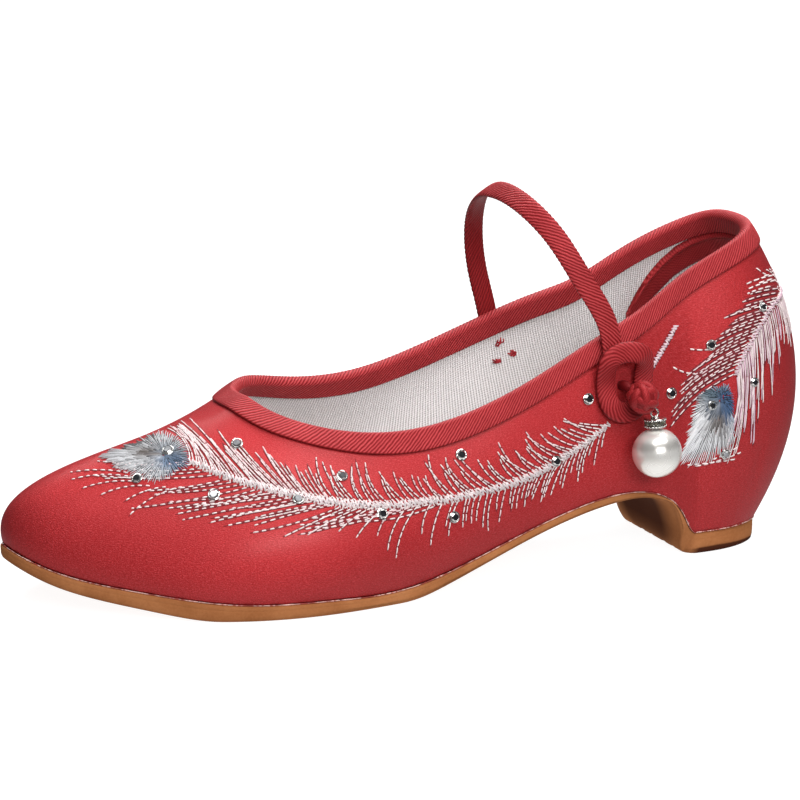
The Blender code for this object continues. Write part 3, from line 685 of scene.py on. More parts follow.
# ================================================================ satin upper
SATIN_CREASES = (  # u, v of the middle, half length and half width (mm), turn from upright, depth (mm, minus is a ridge)
    ("u", "v", "half_long", "half_wide", "turn", "depth"),
    (1.62, 0.23, 14.0, 1.5, 4.0, 0.16),
    (1.52, 0.24, 12.0, 1.6, 4.0, -0.08),
    (4.35, 0.35, 16.0, 4.0, 70.0, 0.14),
    (5.35, 0.55, 14.0, 4.5, 62.0, -0.10),
    (8.6, 0.42, 26.0, 6.0, 80.0, -0.12),
    (9.8, 0.50, 22.0, 6.0, 75.0, 0.10),
    (16.0, 0.45, 24.0, 6.0, 100.0, 0.12),
    (19.4, 0.40, 18.0, 5.0, 110.0, 0.12),
    (22.2, 0.30, 14.0, 2.0, 176.0, 0.12),
)


def satin_lift(u, v):
    """How far the satin stands off its plain shape, in millimetres."""
    u, v = np.asarray(u, float), np.asarray(v, float)
    here = outer(u, v)
    lift = np.zeros(here.shape[:-1])
    for cu, cv, half_long, half_wide, turn, depth in SATIN_CREASES[1:]:
        middle, n = outer(np.array(cu), np.array(cv)), outward(np.array(cu), np.array(cv))
        rise = unit(np.array([0.0, 0.0, 1.0]) - n[2] * n)
        level = np.cross(rise, n)
        a = math.radians(turn)
        along, over = math.cos(a) * rise + math.sin(a) * level, -math.sin(a) * rise + math.cos(a) * level
        d = here - middle
        lift -= depth * np.exp(-((d @ along) / half_long)**2 - ((d @ over) / half_wide)**2 - ((d @ n) / 12.0)**2)
    lift += 0.05 * np.exp(-(v / 0.07)**2) * np.sin(u * 31.0) * np.sin(u * 7.3 + 1.0)
    lift += 0.05 * np.sin(3.1 * u + 5.0 * v) * np.sin(9.0 * v + 1.7 * u)
    seam = np.mod(u + 0.5 * TURN, TURN) - 0.5 * TURN
    return lift - 0.16 * np.exp(-(seam / 0.018)**2)


def satin_at(u, v, off=0.0):
    """Points standing off the satin, and its outward directions."""
    n = outward(u, v)
    return outer(u, v) + (satin_lift(u, v) + off)[..., None] * n, n


def make_upper():
    around = np.concatenate([np.linspace(0, 12, 300, endpoint=False), np.linspace(12, 24, 180, endpoint=False)])[:, None]
    count = len(around)
    v = np.concatenate([np.linspace(0, 0.08, 8, endpoint=False), np.linspace(0.08, 0.996, 72)])[None]
    face, n = satin_at(around, v)
    back = shell(around, np.linspace(0.996, 0.0, 16)[None], 0.85)
    rows = np.concatenate([face, back], 1)
    size = rows.shape[1]
    ring_run = np.concatenate([[0], np.cumsum(np.linalg.norm(np.diff(face[:, 30], axis=0), axis=1))])
    rise = np.concatenate([np.zeros((count, 1)), np.cumsum(np.linalg.norm(np.diff(rows, axis=1), axis=2), 1)], 1)
    uv = np.stack([np.broadcast_to(ring_run[:, None], (count, size)), rise], -1)
    thing = mesh_object("satin_upper", rows.reshape(-1, 3), grid_faces(count, size, closed=True), material=SATIN, uv=uv.reshape(-1, 2))
    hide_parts("upper")


def make_lining():
    count = 300
    around = np.linspace(0, 24, count, endpoint=False)
    low = v_at_height(around, np.maximum(BED_ZS(around), FOOT_ZS(around)) + 0.4, WALL)
    share = np.linspace(0, 1, 40)
    v = low[:, None] + (0.996 - low[:, None]) * share[None]
    u = around[:, None]
    face = shell(u, v, WALL - 0.02)
    pucker = 0.10 * np.sin(9.0 * u + 3 * v) * np.sin(5.0 * u - 6.0 * v)
    face = face - pucker[..., None] * outward(u, v)
    back = shell(u, v[:, ::-3], 1.0)
    rows = np.concatenate([face, back], 1)
    size = rows.shape[1]
    ring_run = np.concatenate([[0], np.cumsum(np.linalg.norm(np.diff(face[:, 30], axis=0), axis=1))])
    rise = np.concatenate([np.zeros((count, 1)), np.cumsum(np.linalg.norm(np.diff(rows, axis=1), axis=2), 1)], 1)
    uv = np.stack([np.broadcast_to(ring_run[:, None], (count, size)), rise], -1)
    thing = mesh_object("lining", rows.reshape(-1, 3), flip(grid_faces(count, size, closed=True)), material=CANVAS, uv=uv.reshape(-1, 2))


def make_footbed():
    """Canvas-covered footbed: a dished top with a turned edge."""
    stations = 150
    u = np.arange(stations + 1) * 12 / stations
    ends = []
    for side in (u, TURN - u):
        z = np.maximum(BED_ZS(side), FOOT_ZS(side)) + INSOLE_THICK
        p = shell(side, v_at_height(side, z, WALL + INSOLE_EDGE), WALL + INSOLE_EDGE)
        p[:, 2] = z
        ends.append(p)
    a, b = ends[0][:, None], ends[1][:, None]
    share = np.linspace(0, 1, 25)[None, :, None]
    wide = np.linalg.norm(b - a, axis=2, keepdims=True)
    edge = np.minimum(share, 1 - share) * wide
    top = a + (b - a) * share
    top[..., 2:] += -0.25 + 0.25 * np.exp(-edge / 2.0) - 0.5 * np.exp(-edge / 0.5)
    low = b + (a - b) * np.linspace(0, 1, 7)[None, :, None]
    low[..., 2] -= INSOLE_THICK
    rows = np.concatenate([top, low], 1)
    over = np.concatenate([np.linspace(0, 1, 25), 1 + np.linspace(0, 1, 7)])[None] * wide[:, 0]
    uv = np.stack([np.broadcast_to(245.0 * u[:, None] / 12, over.shape), over], -1)
    thing = mesh_object("footbed", rows.reshape(-1, 3), grid_faces(len(rows), 32), material=CANVAS, uv=uv.reshape(-1, 2))
    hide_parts("insole")


# ================================================================ twill: binding, strap, loop, knot
TWILL_PITCH, TWILL_ANGLE, TWILL_DEEP_MM = 0.88, 46.0, 0.15


def ribs(run, over, pitch=TWILL_PITCH, angle=TWILL_ANGLE):
    """Height 0 to 1 of twill ribs at distances along and across the tape."""
    a = math.radians(angle)
    phase = (run * math.sin(a) + over * math.cos(a)) / pitch
    wander = 0.09 * np.sin(run * 0.9 + 1.3 * over) + 0.07 * np.sin(2.3 * run - 0.7 * over)
    return (0.5 + 0.5 * np.cos(2 * math.pi * (phase + wander)))**0.8


def make_binding():
    """Folded tape over the collar. The mesh runs along the twill's ribs, so that each rib is clean."""
    count = 2300
    near, far = BIND_GAP, BIND_GAP + BIND_THICK
    coarse = np.linspace(0, 24, 577)
    ring = shell(coarse, np.full(577, 0.97), -far)
    run_at = np.concatenate([[0], np.cumsum(np.linalg.norm(np.diff(ring, axis=0), axis=1))])
    whole = run_at[-1]
    drop = np.array([6.0, 5.9, 5.6, 5.1, 4.4, 3.6, 2.8, 2.0, 1.2, 0.5, 0.1])
    turns = np.radians([15, 40, 65, 90, 115, 140, 165])
    half = WALL / 2 + far
    over = np.concatenate([6.0 - drop, 5.95 + half * turns * 0.9, 6.0 + half * math.pi * 0.9 + drop[::-1]])
    a = math.radians(TWILL_ANGLE)
    pitch = whole * math.sin(a) / round(whole * math.sin(a) / TWILL_PITCH)
    run = np.linspace(0, whole, count, endpoint=False)[:, None] - (over * math.cos(a) / math.sin(a))[None]
    u = np.interp(np.mod(run, whole), run_at, coarse)
    n, edge = outward(u, np.ones(u.shape)), shell(u, np.ones(u.shape), WALL / 2)
    rise = unit(edge - shell(u, np.full(u.shape, 0.97), WALL / 2))
    lift = np.array([-0.55, -0.2, -0.02, 0.05, 0.1, 0.12, 0.12, 0.1, 0.07, 0.03, 0.0])
    tables = [v_below_rim(coarse, drop, depth).T for depth in (-far, WALL + far)]
    face = np.empty((count, len(over), 3))
    proud = np.empty_like(face)
    legs = len(drop)
    for j in range(legs):
        for k, table, depth, sign in ((j, tables[0], -far - lift[j], 1), (len(over) - 1 - j, tables[1], WALL + far + lift[j], -1)):
            v = np.interp(u[:, k], coarse, table[j])
            face[:, k], proud[:, k] = shell(u[:, k], v, depth), sign * outward(u[:, k], v)
    for j, w in enumerate(turns):
        k = legs + j
        proud[:, k] = math.cos(w) * n[:, k] + math.sin(w) * rise[:, k]
        face[:, k] = edge[:, k] + half * (math.cos(w) * n[:, k] + 0.62 * math.sin(w) * rise[:, k])
    height = ribs(run, over[None], pitch)
    calm = np.ones(len(over))
    calm[[0, -1]] = 0.2
    face = face + (TWILL_DEEP_MM * (height - 0.6) * calm)[..., None] * proud
    hems = []
    for depth, order, column_u in ((WALL + near, (5.9, 3.0, 0.4), u[:, -1]), (-near, (0.4, 3.0, 5.9), u[:, 0])):
        table = v_below_rim(coarse, np.array(order), depth).T
        hems.append([shell(column_u, np.interp(column_u, coarse, row), depth) for row in table])
    crown = edge[:, legs + 3] + 0.5 * (WALL / 2 + near) * rise[:, legs + 3]
    back = np.stack(hems[0] + [crown] + hems[1], 1)
    rows = np.concatenate([face, back], 1)
    size = rows.shape[1]
    rib = np.concatenate([height, np.zeros((count, 7))], 1)
    # painted shade: the two columns at each leg's lower edge are darkened where the tape meets the satin
    rib[:, [0, 1, len(over) - 2, len(over) - 1]] *= 0.3
    uv = np.stack([np.concatenate([run, np.broadcast_to(run[:, -1:], (count, 7))], 1),
                   np.broadcast_to(np.concatenate([over, np.full(7, over[-1])])[None], (count, size))], -1)
    thing = mesh_object("collar_tape", rows.reshape(-1, 3), grid_faces(count, size, closed=True), material=TWILL, uv=uv.reshape(-1, 2),
                        value={"rib": rib.ravel()})
    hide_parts("collar_binding")


def tape_profile(wide, thick):
    """Soft flat oval of a folded tape: upper face, then under face. Columns across, proud and the way out."""
    x = np.sin(np.radians(np.linspace(-90, 90, 19)))
    y = (1 - np.abs(x)**3.2)**0.5
    top = np.stack([0.5 * wide * x, 0.5 * thick * y], -1)
    profile = np.concatenate([top, (top * [1, -1])[-2:0:-1]])
    ahead = np.roll(profile, -1, 0) - np.roll(profile, 1, 0)
    out = unit(np.stack([-ahead[:, 1], ahead[:, 0]], -1))
    return profile, out


def twill_tape(name, path_of, side_of, whole, wide, thick, closed, angle, node, material, step=0.19, deep=1.0, flat_and_shade=0.0):
    """Tape along a path. The mesh runs along the twill's ribs. path_of, side_of: point and across direction at distances along the path."""
    profile, out = tape_profile(wide, thick)
    count = int(whole / step)
    a = math.radians(abs(angle))
    lean = math.copysign(math.cos(a) / math.sin(a), angle)
    pitch = TWILL_PITCH
    if closed:
        pitch = whole * math.sin(a) / max(1, round(whole * math.sin(a) / pitch))
    slip = 0.0 if closed else abs(lean) * wide / 2
    base = np.linspace(-slip, whole + slip, count, endpoint=not closed)
    run = base[:, None] - lean * profile[None, :, 0]
    at = np.mod(run, whole) if closed else np.clip(run, 0.0, whole)
    d = 0.05
    if closed:
        ahead = unit(path_of(np.mod(at + d, whole)) - path_of(np.mod(at - d, whole)))
    else:
        ahead = unit(path_of(np.clip(at + d, 0, whole)) - path_of(np.clip(at - d, 0, whole)))
    side = side_of(at)
    side = unit(side - np.sum(side * ahead, -1, keepdims=True) * ahead)
    proud = np.cross(ahead, side)
    height = ribs(run, math.copysign(1.0, angle) * np.broadcast_to(profile[None, :, 0], run.shape), pitch, abs(angle))
    under = np.where(profile[:, 1] > 0, flat_and_shade, 0.0)[None]   # how far the under face is pressed flat, and how much painted shade darkens its colour
    height = 0.55 + deep * (1 - under) * (height - 0.55)
    lift = TWILL_DEEP_MM * (height - 0.6)
    rings = (path_of(at) + (profile[None, :, 0] + lift * out[None, :, 0])[..., None] * side
             + (profile[None, :, 1] + lift * out[None, :, 1])[..., None] * proud)
    # painted shade: the colour is darkened along both edges of the tape
    edge = np.abs(profile[:, 0]) > 0.47 * wide
    # painted shade: the under face's colour is made darker by its share
    rib = height * np.where(edge, 0.2, 1.0)[None] - 0.6 * under
    reach = np.concatenate([[0], np.cumsum(np.linalg.norm(np.diff(profile, axis=0), axis=1))])
    uv = np.stack(np.broadcast_arrays(run, reach[None]), -1)
    size = len(profile)
    tris = None if closed else cap(0, size) + cap((count - 1) * size, size, back=True)
    thing = mesh_object(name, rings.reshape(-1, 3), flip(grid_faces(count, size, closed=closed)), tris, material,
                        uv=uv.reshape(-1, 2), value={"rib": rib.ravel()})
    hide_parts(node)
    return thing


def along(path, closed=False):
    """A path as a function of the distance along it, with its length."""
    path = np.concatenate([path, path[:1]]) if closed else path
    run = np.concatenate([[0], np.cumsum(np.linalg.norm(np.diff(path, axis=0), axis=1))])
    return (lambda s: np.stack([np.interp(s, run, path[:, k]) for k in range(path.shape[1])], -1)), run[-1]


def make_strap():
    folds = np.array(list(STRAP_FOLDS.values()))   # x, y, z and how far the toe edge hangs below the heel edge (degrees)
    dense = smooth_path(folds[:, :3], 1500)
    path, whole = along(dense)
    reach = np.concatenate([[0], np.cumsum(np.linalg.norm(np.diff(folds[:, :3], axis=0), axis=1))])
    turn = np.radians(np.interp(np.linspace(0, 1, len(dense)), reach / reach[-1], folds[:, 3]))
    turn = np.convolve(np.pad(turn, 60, "edge"), np.ones(121) / 121, "valid")[:, None]
    ahead = unit(np.gradient(dense, axis=0))
    level = unit(np.array([1.0, 0.0, 0.0]) - ahead[:, :1] * ahead)
    ways = np.cos(turn) * level - np.sin(turn) * np.cross(level, ahead)
    share = (len(dense) - 1) / whole
    twill_tape("instep_strap", path, lambda s: ways[np.clip(np.rint(s * share).astype(int), 0, len(ways) - 1)], whole, STRAP_WIDE, STRAP_THICK, False, 36.0,
               "strap", TWILL, flat_and_shade=0.5)


def make_loop():
    turns, normals = [], []
    for x, z in LOOP_TURNS.values():
        over_strap = 2 * GAP + STRAP_THICK + BIND_GAP + BIND_THICK if z > LOOP_OVER_STRAP_Z else 0.0
        point, n = outer_wall(x, z, LOOP_THICK / 2 + LOOP_CLEAR + over_strap)
        turns.append(point)
        normals.append(n)
    dense = smooth_path(turns, 900, closed=True)
    proud = unit(np.mean(normals, axis=0))
    path, whole = along(dense, True)
    share = len(dense) / whole
    sides = np.cross(proud, unit(np.roll(dense, -1, 0) - np.roll(dense, 1, 0)))
    twill_tape("frog_loop", path, lambda s: sides[np.mod(np.rint(s * share).astype(int), len(dense))], whole, LOOP_WIDE + 0.5, LOOP_THICK, True, 44.0,
               "button_loop", TWILL_DARK, deep=0.8)


def knot_places():
    wall, n = outer_wall(KNOT_AT[0], KNOT_AT[1])
    middle = wall + KNOT_OFF_WALL * n
    n_flat = unit(np.array([n[0], n[1], 0.0]))
    turn = math.radians(STAPLE_DIRECTION)
    along = np.cross(n_flat, [0.0, 0.0, 1.0])
    if along[0] < 0:
        along = -along
    ray = math.cos(turn) * along + math.sin(turn) * np.array([0.0, 0.0, 1.0])
    pivot = middle + (KNOT_R + 2 * EYE_WIRE + STAPLE_R + 0.3) * ray
    hang = unit(-np.array([0.0, 0.0, 1.0]) - math.tan(math.radians(PENDANT_LEAN)) * along
                + math.tan(math.radians(WALL_TILT)) * n_flat)
    return middle, n_flat, ray, pivot, hang


def make_knot():
    """Button knot: one flat cord wound over and under itself into a ball, with its neck and the thread staple."""
    middle, n, ray, pivot, hang = knot_places()
    one = unit(np.cross(ray, n))
    two = np.cross(ray, one)
    leads, bights, cord_r = 4, 5, 1.15
    t = np.linspace(0, 2 * math.pi * leads, 640, endpoint=False)
    rise = math.radians(63) * np.cos(bights * t / leads)
    far = (KNOT_R - cord_r + 0.05) + 0.30 * np.sin(2 * bights * t / leads)
    path = middle + far[:, None] * (np.cos(rise)[:, None] * (np.cos(t)[:, None] * one + np.sin(t)[:, None] * two) + np.sin(rise)[:, None] * ray)
    ahead = unit(np.roll(path, -1, 0) - np.roll(path, 1, 0))
    out = unit(path - middle)
    side = unit(np.cross(ahead, out))
    out = np.cross(side, ahead)
    w = np.linspace(0, 2 * math.pi, 20, endpoint=False)
    run = np.concatenate([[0], np.cumsum(np.linalg.norm(np.diff(path, axis=0), axis=1))])
    height = ribs(np.broadcast_to(run[:, None], (len(path), 20)), np.broadcast_to((cord_r * w)[None], (len(path), 20)), 0.62, 48.0)
    height = 0.5 + 0.7 * (height - 0.5)
    radius = cord_r + 0.08 * (height - 0.6)
    rings = path[:, None] + radius[..., None] * (1.12 * np.cos(w)[None, :, None] * side[:, None] + np.sin(w)[None, :, None] * out[:, None])
    heap_points, heap_quads, heap_tris, heap_rib, heap_uv = [rings.reshape(-1, 3)], [grid_faces(len(path), 20, closed=True)], [], [height.ravel()], []
    heap_uv.append(np.stack(np.broadcast_arrays(run[:, None], (cord_r * w)[None]), -1).reshape(-1, 2))
    start = rings.size // 3

    def more(points, quads, tris, rib):
        nonlocal start
        heap_points.append(points)
        heap_quads.append(np.asarray(quads) + start)
        if len(tris):
            heap_tris.append(np.asarray(tris) + start)
        heap_rib.append(np.full(len(points), rib))
        heap_uv.append(points[:, [0, 2]])
        start += len(points)

    lat, lon = np.linspace(-math.pi / 2 + 0.05, math.pi / 2 - 0.05, 18), np.linspace(0, 2 * math.pi, 28, endpoint=False)
    core = middle + 4.15 * (np.cos(lat)[:, None, None] * (np.cos(lon)[None, :, None] * one + np.sin(lon)[None, :, None] * two) + np.sin(lat)[:, None, None] * ray)
    more(core.reshape(-1, 3), flip(grid_faces(18, 28)), cap(0, 28) + cap(17 * 28, 28, back=True), 0.25)
    foot_at, foot_n = outer_wall(NECK_AT[0], NECK_AT[1], 0.1)
    neck = smooth_path([foot_at, foot_at + 2.2 * foot_n, 0.5 * (foot_at + middle) + 0.6 * foot_n, middle], 24)
    # painted shade: the neck takes rib 0, the twill's darkest colour, where it sits in the loop's hole
    more(*tube(neck, NECK_R, 16), 0.0)
    wide = STAPLE_HALF * n
    inside = middle + 0.72 * KNOT_R * ray
    legs = smooth_path([inside + wide, pivot + wide - 0.5 * ray, pivot + 0.62 * wide, pivot, pivot - 0.62 * wide, pivot - wide - 0.5 * ray, inside - wide], 60)
    more(*tube(legs, STAPLE_R, 10), 0.3)
    thing = mesh_object("knot_ball", np.concatenate(heap_points), np.concatenate(heap_quads), np.concatenate(heap_tris), TWILL_DARK,
                        uv=np.concatenate(heap_uv), value={"rib": np.concatenate(heap_rib)})
    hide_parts("knot_button")


# ================================================================ pendant
def turned(base, axis, profile, around):
    """Turned piece: profile rows of distance along the axis and radius."""
    axis = unit(axis)
    one = unit(np.cross(axis, [0.31, 0.17, 0.94]))
    two = np.cross(axis, one)
    w = np.linspace(0, 2 * math.pi, around, endpoint=False)
    profile = np.asarray(profile, float)
    return base + profile[:, 0][:, None, None] * axis + profile[:, 1][:, None, None] * (np.cos(w)[None, :, None] * one + np.sin(w)[None, :, None] * two)


def make_pendant():
    middle, n, ray, pivot, hang = knot_places()
    eye_middle = pivot + (EYE_R - EYE_WIRE - STAPLE_R - 0.05) * hang
    side = np.cross(n, hang)
    ring = [eye_middle + EYE_R * (math.cos(w) * hang + math.sin(w) * side) for w in np.linspace(0, 2 * math.pi, 64, endpoint=False)]
    rondelle_top = eye_middle + (EYE_R + EYE_WIRE) * hang
    pearl_top = rondelle_top + (RONDELLE_H + 0.15) * hang
    wire = Heap()
    points, quads, tris = tube(ring, EYE_WIRE, 16, closed=True, guide=np.cross(ring[0] - eye_middle, ring[16] - eye_middle))
    wire.add(points, quads)
    pin_end = pearl_top + (PEARL_BORE_DEPTH - 0.4) * hang
    points, quads, tris = tube([eye_middle + EYE_R * hang + (pin_end - eye_middle - EYE_R * hang) * s for s in np.linspace(0, 1, 8)], PIN_R, 20)
    wire.add(points, quads, tris)
    cup = [(-0.02, PIN_R + 0.08), (-0.34, PIN_R + 0.2), (-0.42, PIN_R + 0.55), (-0.2, PIN_R + 0.8), (-0.02, PIN_R + 0.85)]
    rows = turned(rondelle_top, hang, cup, 28)
    wire.add(rows, grid_faces(len(cup), 28, closed=True))
    thing = wire.make("wire_eye", SILVER, "pendant")
    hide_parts("pendant_eye")

    hole = PIN_R + PIN_CLEAR
    ring_set = Heap()
    h, r = RONDELLE_H, RONDELLE_R
    flange = [(0.0, hole), (0.0, 0.70 * r), (0.05 * h, 0.86 * r), (0.14 * h, 0.93 * r), (0.22 * h, 0.88 * r), (0.27 * h, 0.70 * r),
              (0.5 * h, 0.64 * r), (0.73 * h, 0.70 * r), (0.78 * h, 0.88 * r), (0.86 * h, 0.93 * r), (0.95 * h, 0.86 * r), (h, 0.70 * r), (h, hole)]
    rows = turned(rondelle_top, hang, flange, 72)
    wave = 1 + 0.03 * np.cos(12 * np.linspace(0, 2 * math.pi, 72, endpoint=False))
    axis_points = rondelle_top + np.array(flange)[:, 0][:, None, None] * hang
    rows = axis_points + (rows - axis_points) * np.where(np.array(flange)[:, 1] > 0.8 * r, 1, 0)[:, None, None] * wave[None, :, None] \
        + (rows - axis_points) * np.where(np.array(flange)[:, 1] > 0.8 * r, 0, 1)[:, None, None]
    ring_set.add(rows, grid_faces(len(flange), 72, closed=True))
    one = unit(np.cross(hang, [0.31, 0.17, 0.94]))
    two = np.cross(hang, one)
    for k in range(24):
        w = 2 * math.pi * (k + 0.5) / 24
        spot = rondelle_top + 0.90 * r * (math.cos(w) * one + math.sin(w) * two)
        for level in (0.2, 0.8):
            bead = turned(spot + level * h * hang - 0.22 * hang, hang, [(0.02, 0.05), (0.1, 0.19), (0.22, 0.24), (0.34, 0.19), (0.42, 0.05)], 8)
            ring_set.add(bead, flip(grid_faces(5, 8)), cap(0, 8) + cap(32, 8, back=True))
    thing = ring_set.make("rondelle_ring", SILVER, "pendant")
    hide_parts("rondelle")

    gems = Heap()
    for k in range(12):
        w = 2 * math.pi * k / 12
        out = math.cos(w) * one + math.sin(w) * two
        base = rondelle_top + 0.5 * h * hang + 0.66 * r * out
        gem = turned(base, out, [(0.0, 0.62), (0.42, 0.62), (0.80, 0.36), (0.86, 0.05)], 8)
        gems.add(gem, flip(grid_faces(4, 8)), cap(0, 8) + cap(24, 8, back=True))
    gem_piece = gems.make("rondelle_stones", STONE_GREY, "pendant", smooth=False)

    first = math.asin(hole / PEARL_R)
    profile = [(PEARL_BORE_DEPTH, 0.02), (PEARL_BORE_DEPTH, hole)]
    profile += [(PEARL_R * (1 - math.cos(t)), PEARL_R * math.sin(t)) for t in np.linspace(first, math.pi - 0.02, 64)]
    rows = turned(pearl_top, hang, profile, 96)
    height = 1 - np.array(profile)[:, 0] / PEARL_R     # from -1 at the foot to 1 at the top
    horizon_reflection = 0.85 * np.exp(-np.abs((height - 0.40) / 0.20)**2.6)   # painted reflection: a grey ring where the dark horizon shows in the pearl
    thing = mesh_object("pearl_drop", rows.reshape(-1, 3), flip(grid_faces(len(profile), 96)),
                        cap(0, 96) + cap((len(profile) - 1) * 96, 96, back=True), PEARL, "pendant", value={"horizon_reflection": np.repeat(horizon_reflection, 96)})
    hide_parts("pearl")


# ================================================================ sole
LIFT_SHADED_BEVEL = ((0.0, 0.9, 1.5, 2.2, 2.7, 3.0), (0.06, 0.08, 0.45, 0.9, 0.75, 0.35))   # stations, and how high the lift's rounded bottom edge goes, painted dark as shade (mm)


LIFT_ROUND = 3.2   # radius of the lift's two front corners in plan (mm)


def tread_height(station):
    """Height of the tread's edge: level under the lift, and leaving the floor softly at the ball and the toe."""
    z = 0.0 if station <= 3.0 else max(float(TREAD_ZS(np.array(station))), 0.0)
    return z * (1 - math.exp(-z / 1.2)) if station > 5.0 else z


def make_sole():
    """Gum sole: rounded edge, a fine line round its side and a shallow tread of ribs underneath."""
    half = 360
    sections, painted_shade, joint = [], [], []
    for k in range(half + 1):
        station = 12.0 * k / half
        reach = float(np.clip((TREAD_XS(np.array(min(station, 3.0))) - TREAD_XS(np.array(3.0))) / LIFT_ROUND + 1, 0, 1))
        fade = float(np.clip(1 - (station - 3.0) / 0.6, 0, 1)) if station > 3.0 else 1.0
        inset = LIFT_ROUND * (1 - math.sqrt(1 - reach**2)) * fade**2 * (3 - 2 * fade)
        sides = []
        for u in (12.0 * k / half, TURN - 12.0 * k / half):
            u = np.array(u)
            n = plan_outward(foot, u)
            top = foot(u)
            low = np.array([TREAD_XS(u), FOOT_YS(u), tread_height(station)]) - inset * n
            down = unit(low - top)
            top, low = top + float(WELTS(u)) * n + GAP * down, low + float(WELTS(u)) * n
            ahead = np.array([float(TREAD_XS(u + 0.05) - TREAD_XS(u - 0.05)), float(TREAD_ZS(u + 0.05) - TREAD_ZS(u - 0.05))])
            steep = 0.0 if on_lift(u) else float(np.clip((abs(ahead[1]) / (np.linalg.norm(ahead) + 1e-9) - 0.40) / 0.30, 0, 1))
            steep *= float(np.clip((low[2] - 0.5) / 4.0, 0, 1)) * float(np.clip((100.0 - low[0]) / 10.0, 0, 1))
            low = low - 1.5 * steep * down
            tall = np.linalg.norm(low - top)
            side = [top - 0.7 * n, top - 0.18 * n + 0.04 * down, top + 0.30 * down]
            for share in (0.2, 0.27, 0.31, 0.35, 0.42, 0.6, 0.78):
                dent = -0.05 * math.exp(-((share - 0.31) / 0.035)**2) + 0.12 * math.sin(math.pi * share)
                side.append(top + share * tall * down + dent * n)
            shaded_bevel = float(np.interp(12.0 * k / half, LIFT_SHADED_BEVEL[0], LIFT_SHADED_BEVEL[1])) if on_lift(u) else 0.0
            rise = 0.8 + shaded_bevel
            side[-1] = low - (rise + 0.5) * down + 0.08 * n if shaded_bevel > 0 else side[-1]
            side += [low - rise * down, low - 0.28 * down - 0.14 * n, low - 0.06 * down - 0.45 * n, low - 0.8 * n]
            sides.append(side)
        a, b = sides
        share = np.linspace(0, 1, 49)[1:-1]
        tread = b[-1] + (a[-1] - b[-1]) * share[:, None]
        wide = np.linalg.norm(a[-1] - b[-1])
        x, y = tread[:, 0], tread[:, 1]
        flat_part = (tread[:, 2] < 0.4) | (x > 120)
        edge = np.minimum(share, 1 - share) * wide
        wave = 0.5 + 0.5 * np.cos(2 * math.pi * (x + 2.2 * np.sin(y * 0.42)) / 4.4)
        shaded_groove = 0.55 * np.clip((0.32 - wave) / 0.32, 0, 1)**0.7 * np.clip((edge - 3.0) / 1.5, 0, 1) * flat_part
        tread[:, 2] += shaded_groove
        tread += (1.5 * steep * (1 - np.clip(1 - edge / 7.0, 0, 1)**2))[:, None] * down
        top = a[0] + (b[0] - a[0]) * np.linspace(0, 1, 9)[1:-1, None]
        sections.append(np.concatenate([np.array(a)[::-1], top, np.array(b), tread]))
        # painted shade along the sole's side: dark just under the satin's overhang at the top, growing towards the
        # floor at the bottom; on the lift, the band along its rounded bottom edge is nearly black
        rim_shade = np.array([0.7, 0.3, 0.10, 0.0, 0.0, 0.04, 0.0, 0.0, 0.0, 0.0, 0.04, 0.12, 0.2, 0.2])
        if on_lift(12.0 * k / half):
            rim_shade[9:] = np.clip((3.0 - 12.0 * k / half) / 0.3, 0.25, 1) * np.array([0.1, 0.95, 1.0, 1.0, 1.0])
        # painted shade underneath: under the arch and the heel breast it deepens inward from the edge over about 10 mm,
        # and the tread gets a little all over and more in its grooves
        arch = np.clip((x - 40) / 6, 0, 1) * np.clip((110 - x) / 40, 0, 1) * np.clip((edge - 1.0) / 10.0, 0, 1)
        painted_shade.append(np.concatenate([rim_shade[::-1], np.ones(7), rim_shade, np.maximum(0.10 + 0.5 * (shaded_groove > 0.1), 0.92 * arch)]))
    rows = np.array(sections)
    faces = grid_faces(len(rows), rows.shape[1])
    thing = mesh_object("gum_sole", rows.reshape(-1, 3), faces, material=RUBBER, value={"painted_shade": np.array(painted_shade).ravel()})
    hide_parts("outsole")


def make_glue_line():
    """Thin broken bead of cement where the satin meets the sole."""
    count = 1400
    u = np.linspace(0, 24, count, endpoint=False)
    n = plan_outward(foot, u)
    thick = 0.10 + 0.09 * (0.5 + 0.5 * np.sin(37 * u)) * (0.5 + 0.5 * np.sin(11 * u + 2)) + 0.05 * rng.random(count)
    path = foot(u) + (np.maximum(WELTS(u), 0.0) * 0.35 + 0.06)[:, None] * n - np.array([0, 0, 0.1])
    points, quads, tris = tube(path, thick, 6, closed=True, guide=(0, 0, 1))
    pale, red = np.array([0.80, 0.50, 0.44]), np.array([0.36, 0.05, 0.04])
    share = np.clip(0.5 + 0.9 * np.sin(5.1 * u) * np.sin(13.7 * u + 1) + 0.5 * rng.standard_normal(count), 0, 1)
    tint = red + share[:, None] * (pale - red)
    thing = mesh_object("cement_line", points, quads, material=RED_THREAD, tint=np.repeat(tint, 6, 0))


